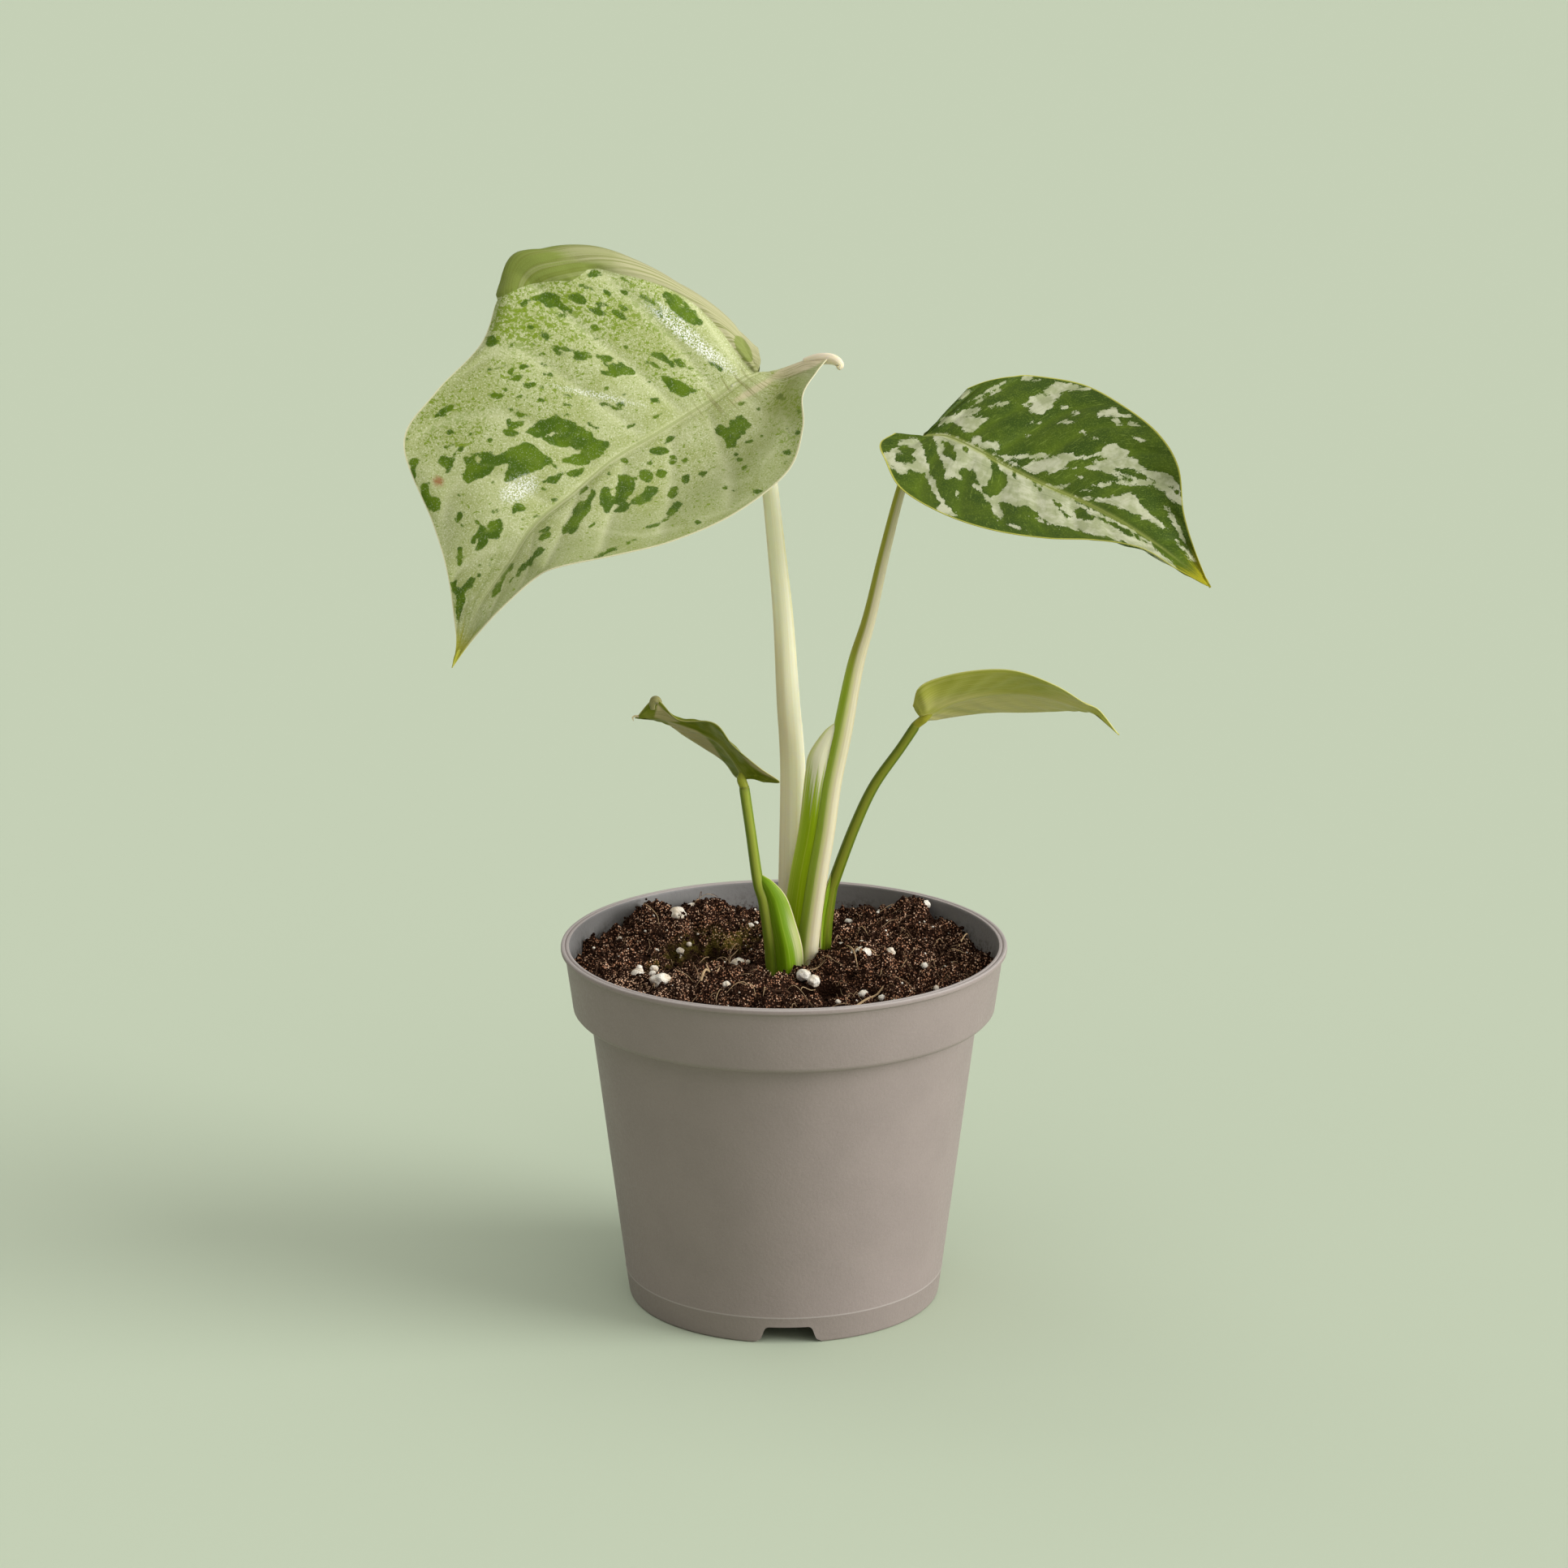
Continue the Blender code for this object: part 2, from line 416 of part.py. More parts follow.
def sheet(grid, thickness, merge=0.0, ribs=None):
    # A thin solid over a grid of points, with the same triangles on both faces. Points in one place
    # become one. ribs[i][j] adds thickness on the under side.
    points, names = [], []
    for row in grid:
        names.append([])
        for j in kept_columns(row, merge):
            same = [k for k, other in enumerate(points) if (other - row[j]).length < WELD]
            if not same:
                same = [len(points)]
                points.append(row[j])
            names[-1].append(same[0])
    triangles = []
    for i in range(len(grid) - 1):
        for j in range(len(grid[0]) - 1):
            a, b, c, d = names[i][j], names[i + 1][j], names[i + 1][j + 1], names[i][j + 1]
            triangles += [triangle for triangle in ((a, b, c), (a, c, d)) if len(set(triangle)) == 3]
    normals = [Vector() for _ in points]
    for a, b, c in triangles:
        normal = (points[b] - points[a]).cross(points[c] - points[a])
        for k in (a, b, c):
            normals[k] += normal
    depth = [thickness / 2] * len(points)
    for i, row in enumerate(ribs or []):
        for j, rib in enumerate(row):
            depth[names[i][j]] = max(depth[names[i][j]], thickness / 2 + rib)
    bm = bmesh.new()
    upper = [bm.verts.new(p + n.normalized() * (thickness / 2)) for p, n in zip(points, normals)]
    under = [bm.verts.new(p - n.normalized() * d) for p, n, d in zip(points, normals, depth)]
    edges = {}
    for a, b, c in triangles:
        bm.faces.new((upper[a], upper[b], upper[c]))
        bm.faces.new((under[c], under[b], under[a]))
        for pair in ((a, b), (b, c), (c, a)):
            edges[frozenset(pair)] = None if frozenset(pair) in edges else pair
    for pair in edges.values():
        if pair:
            a, b = pair
            bm.faces.new((upper[b], upper[a], under[a]))
            bm.faces.new((upper[b], under[a], under[b]))
    if bm.calc_volume(signed=True) < 0:
        bmesh.ops.reverse_faces(bm, faces=bm.faces)
    return bm


def pot_outer_radius(height):
    return FOOT_RADIUS + (SHOULDER_RADIUS - FOOT_RADIUS) * height / SHOULDER_HEIGHT


def pot_inside():
    # The inner wall from the floor up to the lip
    corners = [(SHOULDER_RADIUS, SHOULDER_HEIGHT), (BAND_FOOT_RADIUS, BAND_FOOT_HEIGHT),
               (BAND_FOOT_RADIUS, BAND_FOOT_HEIGHT)]
    step = [(r - WALL - inwards, z - down) for (r, z), (inwards, down) in zip(corners, INSIDE_STEP)]
    return [(pot_outer_radius(FLOOR_TOP) - WALL, FLOOR_TOP), *step, (BAND_TOP_RADIUS - WALL, LIP_HEIGHT)]


def pot_profile():
    foot_inner = FOOT_RADIUS - FOOT_RING
    seam = pot_outer_radius(SEAM_HEIGHT)
    outside = [(0.0, FLOOR_UNDERSIDE),
               (foot_inner, FLOOR_UNDERSIDE),
               (foot_inner, 0.0),
               *[(FOOT_RADIUS - inwards, up) for inwards, up in FOOT_ROUNDING],
               (seam, SEAM_HEIGHT - SEAM_RISE * 2),
               (seam + SEAM_RISE, SEAM_HEIGHT),
               (seam, SEAM_HEIGHT + SEAM_RISE * 2),
               (SHOULDER_RADIUS, SHOULDER_HEIGHT),
               *[(BAND_FOOT_RADIUS - inwards, BAND_FOOT_HEIGHT - down) for inwards, down in BAND_ROUNDING],
               (BAND_TOP_RADIUS, LIP_HEIGHT),
               *[(LIP_RADIUS - inwards, POT_HEIGHT - down) for inwards, down in LIP_OUTLINE]]
    return outside + pot_inside()[::-1] + [(0.0, FLOOR_TOP)]


def notch_cutter(angle):
    # The notch's outline, mirrored and pushed outwards through the foot ring
    outline = NOTCH_OUTLINE + [(-x, z) for x, z in reversed(NOTCH_OUTLINE)]
    outward = Vector((math.cos(angle), math.sin(angle), 0))
    across = Vector((-math.sin(angle), math.cos(angle), 0))
    up = Vector((0, 0, 1))
    bm = bmesh.new()
    ends = [[bm.verts.new(outward * reach + across * x + up * z) for x, z in outline]
            for reach in NOTCH_REACH]
    for k in range(len(outline)):
        n = (k + 1) % len(outline)
        bm.faces.new((ends[0][k], ends[0][n], ends[1][n], ends[1][k]))
    bm.faces.new(ends[0])
    bm.faces.new(ends[1])
    bmesh.ops.recalc_face_normals(bm, faces=bm.faces)
    return add_object("notch", bm)


def drain_cutter(angle):
    bm = bmesh.new()
    bmesh.ops.create_cone(bm, cap_ends=True, segments=DRAIN_SIDES, radius1=DRAIN_RADIUS, radius2=DRAIN_RADIUS,
                          depth=WALL * 4)
    place = Vector((math.cos(angle) * DRAIN_CIRCLE, math.sin(angle) * DRAIN_CIRCLE, FLOOR_UNDERSIDE))
    bmesh.ops.translate(bm, verts=bm.verts, vec=place)
    return add_object("drain", bm)


def make_pot(mat):
    pot = add_object("pot", lathe(pot_profile(), POT_SEGMENTS), mat)
    cutters = [notch_cutter(FIRST_NOTCH + math.tau * k / NOTCH_COUNT) for k in range(NOTCH_COUNT)]
    cutters += [drain_cutter(math.tau * k / DRAIN_COUNT) for k in range(DRAIN_COUNT)]
    combine(pot, cutters, "DIFFERENCE")
    shade_round(pot)
    return pot


def soil_height(x, y):
    z = SOIL_LEVEL
    for mx, my, radius, rise in SOIL_MOUNDS:
        z += rise * math.exp(-((x - mx) ** 2 + (y - my) ** 2) / radius ** 2)
    for size, rise in CLOD_SIZES:
        z += rise * noise.noise(Vector((x / size, y / size, rise / size)))
    return z


def soil_block():
    # A block with the uneven surface on top, later trimmed to the inside of the pot
    half = BAND_TOP_RADIUS + SOIL_CELL / 2
    count = round(2 * half / SOIL_CELL)
    xs, ys = ([-half + 2 * half * k / count + shift for k in range(count + 1)] for shift in SOIL_SHIFT)
    bm = bmesh.new()
    top = [[bm.verts.new((x, y, soil_height(x, y))) for y in ys] for x in xs]
    for i in range(count):
        for j in range(count):
            bm.faces.new((top[i][j], top[i + 1][j], top[i + 1][j + 1]))
            bm.faces.new((top[i][j], top[i + 1][j + 1], top[i][j + 1]))
    rim = [edge for edge in bm.edges if edge.is_boundary]
    skirt = bmesh.ops.extrude_edge_only(bm, edges=rim)["geom"]
    low = [v for v in skirt if isinstance(v, bmesh.types.BMVert)]
    for vert in low:
        vert.co.z = 0.0
    bmesh.ops.contextual_create(bm, geom=[e for e in bm.edges if e.is_boundary])
    bmesh.ops.recalc_face_normals(bm, faces=bm.faces)
    return bm


def soil_room():
    # The space inside the pot's wall, a clearance in from it
    inside = pot_inside()
    outline = [(0.0, SOIL_BOTTOM), (inside[0][0] - CLEARANCE, SOIL_BOTTOM)]
    outline += [(r - CLEARANCE, z + CLEARANCE) for r, z in inside[1:]]
    outline += [(0.0, inside[-1][1] + CLEARANCE)]
    return lathe(outline, POT_SEGMENTS)


def grain(x, y, radius, rng):
    # A lumpy pebble sunk into the soil, with more faces on the large ones
    bm = bmesh.new()
    bmesh.ops.create_icosphere(bm, subdivisions=2 if radius >= FINE_GRAIN_RADIUS else 1, radius=radius)
    for vert in bm.verts:
        vert.co *= rng.uniform(*GRAIN_LUMPS)
    stretch = Vector((rng.uniform(*GRAIN_WIDTH), rng.uniform(*GRAIN_WIDTH), rng.uniform(*GRAIN_FLATNESS)))
    bmesh.ops.scale(bm, vec=stretch, verts=bm.verts)
    height = soil_height(x, y) + radius * GRAIN_LIFT
    bmesh.ops.translate(bm, vec=(x, y, height), verts=bm.verts)
    return add_object("grain", bm)


def far_from_stems(x, y):
    return math.hypot(x - STEM_BASE_CENTRE[0], y - STEM_BASE_CENTRE[1]) > STEM_SURROUND


def scatter_grains(rng):
    # Small grains, none closer than a gap to those already placed
    placed = list(GRAINS)
    while len(placed) < len(GRAINS) + SMALL_GRAIN_COUNT:
        reach = SMALL_GRAIN_SPREAD * math.sqrt(rng.random())
        turn = rng.uniform(0, math.tau)
        x, y = reach * math.cos(turn), reach * math.sin(turn)
        radius = rng.uniform(*SMALL_GRAIN_RADIUS)
        clear = all(math.hypot(x - gx, y - gy) > radius + gr + GRAIN_GAP for gx, gy, gr in placed)
        if clear and far_from_stems(x, y):
            placed.append((x, y, radius))
    return placed


def make_soil(mat, hole_makers):
    rng = random.Random(SEED)
    soil = add_object("soil", soil_block(), mat)
    combine(soil, [add_object("room", soil_room())], "INTERSECT")
    combine(soil, [make() for make in hole_makers], "DIFFERENCE")
    combine(soil, [grain(x, y, r, rng) for x, y, r in scatter_grains(rng)], "UNION")
    return soil


def stem_points(line, steps_per_span=2):
    points = [Vector(p) for p, _ in line]
    radii = [Vector((r, 0, 0)) for _, r in line]
    count = (len(line) - 1) * steps_per_span
    places = [k / count for k in range(count + 1)]
    return [spline(points, t) for t in places], [spline(radii, t).x for t in places]


def stem_tube(line, grow=0.0, name="stem"):
    points, radii = stem_points(line)
    if grow:
        points = [points[0] + (points[0] - points[1]).normalized() * grow] + points[1:]
    return add_object(name, tube(points, [r + grow for r in radii], STEM_SIDES))


def sheath_grid(rows, rows_per_span=2, columns=4, grow=0.0):
    rows = [[Vector(p) for p in row] for row in rows]
    if grow:
        rows = [row[:-1] + [row[-1] + (row[-1] - row[-2]).normalized() * grow] for row in rows]
        drop = Vector((0, 0, -grow))
        rows[-1] = [p + drop for p in rows[-1]]
    count = (len(rows) - 1) * rows_per_span
    lines = [list(column) for column in zip(*rows)]
    grid = []
    for i in range(count + 1):
        across = [spline(line, i / count) for line in lines]
        grid.append([spline(across, j / columns) for j in range(columns + 1)])
    return grid


def sheath_sheet(rows, grow=0.0, name="sheath"):
    return add_object(name, sheet(sheath_grid(rows, grow=grow), SHEATH_THICKNESS + 2 * grow))


def make_petiole(name, mat, line, sheath=None):
    stem = stem_tube(line, name=name)
    stem.data.materials.append(mat)
    if sheath:
        combine(stem, [sheath_sheet(sheath)], "UNION")
    shade_round(stem, STEM_CREASE)
    return stem


def make_stem_base(mat):
    base = lathe(STEM_BASE_OUTLINE, STEM_BASE_SEGMENTS)
    bmesh.ops.translate(base, verts=base.verts, vec=(*STEM_BASE_CENTRE, 0))
    stem_base = add_object("stem_base", base, mat)
    shade_round(stem_base)
    return stem_base


def stem_base_hole():
    grown = [(r + CLEARANCE if r else 0.0, z) for r, z in STEM_BASE_OUTLINE]
    grown[0] = (0.0, grown[0][1] - CLEARANCE)
    grown[1] = (grown[1][0], grown[1][1] - CLEARANCE)
    grown[-2:] = [(r, z + 2 * CLEARANCE) for r, z in grown[-2:]]
    base = lathe(grown, STEM_BASE_SEGMENTS)
    bmesh.ops.translate(base, verts=base.verts, vec=(*STEM_BASE_CENTRE, 0))
    return add_object("stem_base_hole", base)


def midrib_point(line, t):
    # Stays at the stalk for as long as the stations share it
    shared = sum(1 for point in line[1:] if point == line[0])
    spans = len(line) - 1
    return spline(line[shared:], max(t * spans - shared, 0.0) / (spans - shared))


def blade_grid(stations, tip, rows, half_columns):
    # Lines run from stalk to tip; each row is a smooth curve across them, creased at the midrib
    end = [Vector(tip)]
    midrib = [Vector(station[0]) for station in stations] + end
    halves = []
    for side in (2, 1):
        halves.append([[Vector(station[side][k]) for station in stations] + end
                       for k in range(len(stations[0][side]))])
    grid = []
    for i in range(rows + 1):
        middle = midrib_point(midrib, i / rows)
        right, left = ([middle] + [spline(line, i / rows) for line in half] for half in halves)
        row = [spline(right, v) for v in reversed(half_columns)]
        row += [spline(left, v) for v in half_columns[1:]]
        grid.append(row)
    return grid


def blade_ribs(grid, rib):
    # The midrib stands out below the middle column: it rises past the stalk and fades to the tip
    middle = len(grid[0]) // 2
    ribs = [[0.0] * len(row) for row in grid]
    for i, row in enumerate(grid):
        risen = min((row[middle] - grid[0][middle]).length / KNEE_RUN, 1.0)
        ribs[i][middle] = rib * risen * (1.0 - i / (len(grid) - 1)) ** RIB_FADE
    return ribs


def knee(grid, stalk):
    # The bent top of the stalk: from a clearance above the petiole to under the midrib
    middle = len(grid[0]) // 2
    joint = grid[0][middle]
    i = next(k for k, row in enumerate(grid) if (row[middle] - joint).length > KNEE_RUN)
    ahead = grid[i][middle]
    upward = (ahead - joint).cross(grid[i][middle + 1] - grid[i][middle - 1]).normalized()
    end, radius = Vector(stalk[-1][0]), stalk[-1][1]
    along = (end - Vector(stalk[-2][0])).normalized()
    start = end + along * CLEARANCE
    bend = start + along * (joint - start).length * KNEE_BEND
    under = joint.lerp(ahead, KNEE_LEAN) - upward * radius * KNEE_END
    line = [start, bend, under, ahead - upward * BLADE_THICKNESS / 2]
    points = [spline(line, k / KNEE_STEPS) for k in range(KNEE_STEPS + 1)]
    radii = [radius * (1.0 - (1.0 - KNEE_END) * k / KNEE_STEPS) for k in range(KNEE_STEPS + 1)]
    return add_object("knee", tube(points, radii, STEM_SIDES))


def make_blade(name, mat, stations, tip, rows, half_columns, rib, stalk):
    grid = blade_grid(stations, tip, rows, half_columns)
    blade = add_object(name, sheet(grid, BLADE_THICKNESS, BLADE_MERGE, blade_ribs(grid, rib)), mat)
    combine(blade, [knee(grid, stalk)], "UNION")
    shade_round(blade, BLADE_CREASE)
    return blade


def centre_on_base(objects):
    # Moves every mesh so that the origin is the middle of the whole part's box, on the floor
    corners = [v.co for obj in objects for v in obj.data.vertices]
    low = [min(c[k] for c in corners) for k in range(3)]
    high = [max(c[k] for c in corners) for k in range(3)]
    shift = Vector((-(low[0] + high[0]) / 2, -(low[1] + high[1]) / 2, -low[2]))
    for obj in objects:
        for vert in obj.data.vertices:
            vert.co += shift


def main():
    clear_scene()
    pot_plastic = material("taupe plastic", TAUPE, PLASTIC_ROUGHNESS)
    earth = material("soil", SOIL_BROWN, SOIL_ROUGHNESS)
    cream = material("cream stalk", CREAM, STALK_ROUGHNESS)
    green = material("green stalk", STALK_GREEN, STALK_ROUGHNESS)
    pale_leaf = material("pale leaf", PALE_GREEN, LEAF_ROUGHNESS)
    dark_leaf = material("dark leaf", DARK_GREEN, LEAF_ROUGHNESS)
    young_leaf = material("young leaf", YOUNG_GREEN, LEAF_ROUGHNESS)

    parts = [
        make_pot(pot_plastic),
        make_soil(earth, [lambda: stem_tube(LARGE_PETIOLE, CLEARANCE),
                          lambda: stem_tube(RIGHT_PETIOLE, CLEARANCE),
                          lambda: stem_tube(SMALL_LEFT_PETIOLE, CLEARANCE),
                          lambda: stem_tube(SMALL_RIGHT_PETIOLE, CLEARANCE),
                          lambda: sheath_sheet(RIGHT_SHEATH, CLEARANCE),
                          lambda: sheath_sheet(SMALL_LEFT_SHEATH, CLEARANCE),
                          lambda: sheath_sheet(SMALL_RIGHT_SHEATH, CLEARANCE),
                          stem_base_hole]),
        make_stem_base(cream),
        make_petiole("petiole_large", cream, LARGE_PETIOLE),
        make_petiole("petiole_right", cream, RIGHT_PETIOLE, RIGHT_SHEATH),
        make_petiole("petiole_small_left", green, SMALL_LEFT_PETIOLE, SMALL_LEFT_SHEATH),
        make_petiole("petiole_small_right", green, SMALL_RIGHT_PETIOLE, SMALL_RIGHT_SHEATH),
        make_blade("blade_large", pale_leaf, LARGE_BLADE, LARGE_TIP, LARGE_ROWS, HALF_COLUMNS,
                   LARGE_RIB, LARGE_PETIOLE),
        make_blade("blade_right", dark_leaf, RIGHT_BLADE, RIGHT_TIP, RIGHT_ROWS, HALF_COLUMNS,
                   RIGHT_RIB, RIGHT_PETIOLE),
        make_blade("blade_small_left", young_leaf, SMALL_LEFT_BLADE, SMALL_LEFT_TIP, SMALL_ROWS,
                   SMALL_HALF_COLUMNS, SMALL_RIB, SMALL_LEFT_PETIOLE),
        make_blade("blade_small_right", young_leaf, SMALL_RIGHT_BLADE, SMALL_RIGHT_TIP, SMALL_ROWS,
                   SMALL_HALF_COLUMNS, SMALL_RIB, SMALL_RIGHT_PETIOLE),
    ]
    centre_on_base(parts)


main()
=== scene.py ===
import math
import random

import bpy
import numpy as np
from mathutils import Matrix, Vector, noise


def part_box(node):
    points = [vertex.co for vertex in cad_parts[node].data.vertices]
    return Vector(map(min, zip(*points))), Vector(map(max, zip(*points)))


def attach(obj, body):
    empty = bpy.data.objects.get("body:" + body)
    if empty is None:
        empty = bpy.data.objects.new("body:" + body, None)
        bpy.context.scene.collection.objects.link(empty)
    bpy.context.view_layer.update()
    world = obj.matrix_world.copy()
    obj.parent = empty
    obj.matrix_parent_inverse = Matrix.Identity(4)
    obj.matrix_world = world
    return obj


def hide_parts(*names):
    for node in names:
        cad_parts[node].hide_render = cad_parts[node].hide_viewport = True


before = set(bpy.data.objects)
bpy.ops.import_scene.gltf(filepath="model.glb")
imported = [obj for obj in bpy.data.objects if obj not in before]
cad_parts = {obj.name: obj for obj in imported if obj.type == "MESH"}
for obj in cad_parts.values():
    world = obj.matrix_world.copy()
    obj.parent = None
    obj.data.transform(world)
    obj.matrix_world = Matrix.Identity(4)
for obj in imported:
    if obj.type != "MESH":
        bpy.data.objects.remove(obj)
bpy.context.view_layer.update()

potLow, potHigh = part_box("pot")
potAxis = np.array([(potLow.x + potHigh.x) / 2, (potLow.y + potHigh.y) / 2, 0.0])

# The camera, placed from the pot's axis on the floor, and the size of the photograph in pixels
photo = {"lens": 105.0, "sensor": 36.0, "away": 1.1761, "height": 0.4613, "tilt": 0.26464, "pixels": 1932}

lighting = {
    "lamps": [{"strength": 1.85, "softness": 38, "azimuth": 15, "elevation": 24, "colour": (0.98, 1.0, 1.0)},
              {"strength": 1.12, "softness": 90, "azimuth": 90, "elevation": 82, "colour": (1.0, 0.98, 0.95)},
              {"strength": 2.2, "softness": 40, "azimuth": 15, "elevation": 6, "colour": (1.0, 0.99, 0.98)},
              {"strength": 0.32, "softness": 60, "azimuth": 50, "elevation": 18, "colour": (1.0, 0.99, 0.98)},
              {"strength": 0.15, "softness": 30, "azimuth": 225, "elevation": 40, "colour": (1.0, 1.0, 1.0)}],
    "fillStrength": 0.350, "fillColour": (1.0, 0.99, 0.98),
    "floorSize": 60.0, "floorColour": (0.512, 0.580, 0.438), "floorFleck": 0.8,
}


def deselectAll():
    if bpy.context.object and bpy.context.object.mode != "OBJECT":
        bpy.ops.object.mode_set(mode="OBJECT")
    bpy.ops.object.select_all(action="DESELECT")


def pick(*pieces):
    deselectAll()
    for piece in pieces:
        piece.select_set(True)
    bpy.context.view_layer.objects.active = pieces[0]


def named(piece, name):
    piece.name = piece.data.name = name
    return piece


def smoothThrough(points, t):
    # A smooth curve through all the points at t from 0 to 1; each t may have points of its own
    points = np.asarray(points, float)
    if points.ndim == 2:
        points = np.repeat(points[:, None], len(t), axis=1)
    last = len(points) - 1
    place = np.clip(t, 0.0, 1.0) * last
    span = np.minimum(place.astype(int), last - 1)
    f = (place - span)[:, None]
    ends = [points[:1] * 2 - points[1:2], points, points[-1:] * 2 - points[-2:-1]]
    ends = np.concatenate(ends)
    p0, p1, p2, p3 = (ends[span + k, np.arange(len(t))] for k in range(4))
    return p1 + f / 2 * (p2 - p0 + f * (p0 * 2 - p1 * 5 + p2 * 4 - p3 + f * (p1 * 3 - p0 - p2 * 3 + p3)))


def soften(value, low, high):
    # 0 below low, 1 above high, smooth between
    t = np.clip((value - low) / (high - low), 0.0, 1.0)
    return t * t * (3 - 2 * t)


def getPoints(mesh):
    points = np.empty(len(mesh.vertices) * 3)
    mesh.vertices.foreach_get("co", points)
    return points.reshape(-1, 3)


def setPoints(mesh, points):
    mesh.vertices.foreach_set("co", np.asarray(points, float).ravel())
    mesh.update()


def getNormals(mesh):
    normals = np.empty(len(mesh.vertices) * 3)
    mesh.vertex_normals.foreach_get("vector", normals)
    return normals.reshape(-1, 3)


def writeField(mesh, name, values):
    field = mesh.attributes.new(name, "FLOAT", "POINT")
    field.data.foreach_set("value", np.asarray(values, np.float32))


def layGrid(name, across, along, place):
    # A grid whose points are laid on a surface: place(u, v) gives the points for arrays of u and v
    deselectAll()
    bpy.ops.mesh.primitive_grid_add(x_subdivisions=across, y_subdivisions=along, size=1.0, calc_uvs=True)
    piece = named(bpy.context.object, name)
    flat = getPoints(piece.data)
    u, v = flat[:, 0] + 0.5, flat[:, 1] + 0.5
    setPoints(piece.data, place(u, v))
    return piece, u, v


def applyAll(piece):
    pick(piece)
    for modifier in list(piece.modifiers):
        bpy.ops.object.modifier_apply(modifier=modifier.name)


def mergeDoubles(piece, distance, outward=False):
    pick(piece)
    bpy.ops.object.mode_set(mode="EDIT")
    bpy.ops.mesh.select_all(action="SELECT")
    bpy.ops.mesh.remove_doubles(threshold=distance)
    if outward:
        bpy.ops.mesh.normals_make_consistent(inside=False)
    bpy.ops.object.mode_set(mode="OBJECT")


def finishPiece(piece, mat, node, sharpAngle=60):
    pick(piece)
    bpy.ops.object.shade_smooth_by_angle(angle=math.radians(sharpAngle))
    piece.data.materials.clear()
    piece.data.materials.append(mat)
    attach(piece, "root")
    if node:
        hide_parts(node)


painting = {}   # the node tree and the shader of the material at hand


def startMaterial(name, roughness, specular=0.5):
    mat = bpy.data.materials.new(name)
    mat.use_nodes = True
    painting["tree"] = mat.node_tree
    painting["shader"] = mat.node_tree.nodes["Principled BSDF"]
    onto("Roughness", roughness)
    onto("Specular IOR Level", specular)
    return mat


def feed(value, socket):
    if isinstance(value, bpy.types.NodeSocket):
        painting["tree"].links.new(value, socket)
    else:
        socket.default_value = value


def onto(name, value):
    feed(value, painting["shader"].inputs[name])


def addNode(kind, inputs, **settings):
    made = painting["tree"].nodes.new("ShaderNode" + kind)
    for name, value in settings.items():
        setattr(made, name, value)
    for name, value in inputs.items():
        feed(value, made.inputs[name])
    return made


def field(name):
    return addNode("Attribute", {}, attribute_name=name).outputs["Fac"]


def objectPlace():
    return addNode("TexCoord", {}).outputs["Object"]


def uvPlace():
    # The piece's UV place, and across and along the piece as two values
    uv = addNode("UVMap", {}).outputs["UV"]
    parts = addNode("SeparateXYZ", {0: uv})
    return uv, parts.outputs["X"], parts.outputs["Y"]


def stretched(place, scale, turn=(0, 0, 0)):
    return addNode("Mapping", {"Vector": place, "Scale": scale, "Rotation": turn}).outputs["Vector"]


def grain(place, scale, detail=2.0, roughness=0.5):
    inputs = {"Vector": place, "Scale": scale, "Detail": detail, "Roughness": roughness}
    return addNode("TexNoise", inputs).outputs["Fac"]


def cells(place, scale, output="Distance"):
    return addNode("TexVoronoi", {"Vector": place, "Scale": scale}).outputs[output]


def maths(operation, *values):
    return addNode("Math", dict(enumerate(values)), operation=operation).outputs[0]


def times(first, second):
    return maths("MULTIPLY", first, second)


def plus(first, second):
    return maths("ADD", first, second)


def between(value, low, high, start=0.0, end=1.0):
    inputs = {"Value": value, "From Min": low, "From Max": high, "To Min": start, "To Max": end}
    return addNode("MapRange", inputs, interpolation_type="SMOOTHSTEP").outputs["Result"]


def tint(share, first, second):
    made = addNode("Mix", {0: share}, data_type="RGBA")
    for k, value in ((6, first), (7, second)):
        feed((*value, 1.0) if isinstance(value, tuple) else value, made.inputs[k])
    return made.outputs[2]


def bumpy(height, distance, strength=1.0):
    onto("Normal", addNode("Bump", {"Height": height, "Distance": distance, "Strength": strength}).outputs["Normal"])


def lightThrough(weight, radius, scale):
    onto("Subsurface Weight", weight)
    onto("Subsurface Radius", radius)
    onto("Subsurface Scale", scale)


# Where a point shows in the photograph
cameraPlace = potAxis + np.array([0.0, -photo["away"], photo["height"]])
lookAlong = np.array([0.0, math.cos(photo["tilt"]), -math.sin(photo["tilt"])])
lookUp = np.array([0.0, math.sin(photo["tilt"]), math.cos(photo["tilt"])])


def seenAt(points):
    relative = points - cameraPlace
    depth = relative @ lookAlong
    zoom = photo["lens"] / photo["sensor"] * photo["pixels"]
    middle = photo["pixels"] / 2
    return middle + zoom * relative[:, 0] / depth, middle - zoom * (relative @ lookUp) / depth


def paired(numbers):
    return list(zip(numbers[::2], numbers[1::2]))


def insidePatch(x, y, patch):
    # Distance from the patch's outline, above 0 inside it
    corners = paired(patch)
    nearest = np.full(len(x), 1e9)
    inside = np.zeros(len(x), bool)
    for (ax, ay), (bx, by) in zip(corners, corners[1:] + corners[:1]):
        dx, dy = bx - ax, by - ay
        t = np.clip(((x - ax) * dx + (y - ay) * dy) / (dx * dx + dy * dy), 0.0, 1.0)
        nearest = np.minimum(nearest, np.hypot(x - ax - t * dx, y - ay - t * dy))
        if ay != by:
            crossing = ((ay > y) != (by > y)) & (x < dx * (y - ay) / dy + ax)
            inside ^= crossing
    return np.where(inside, nearest, -nearest)


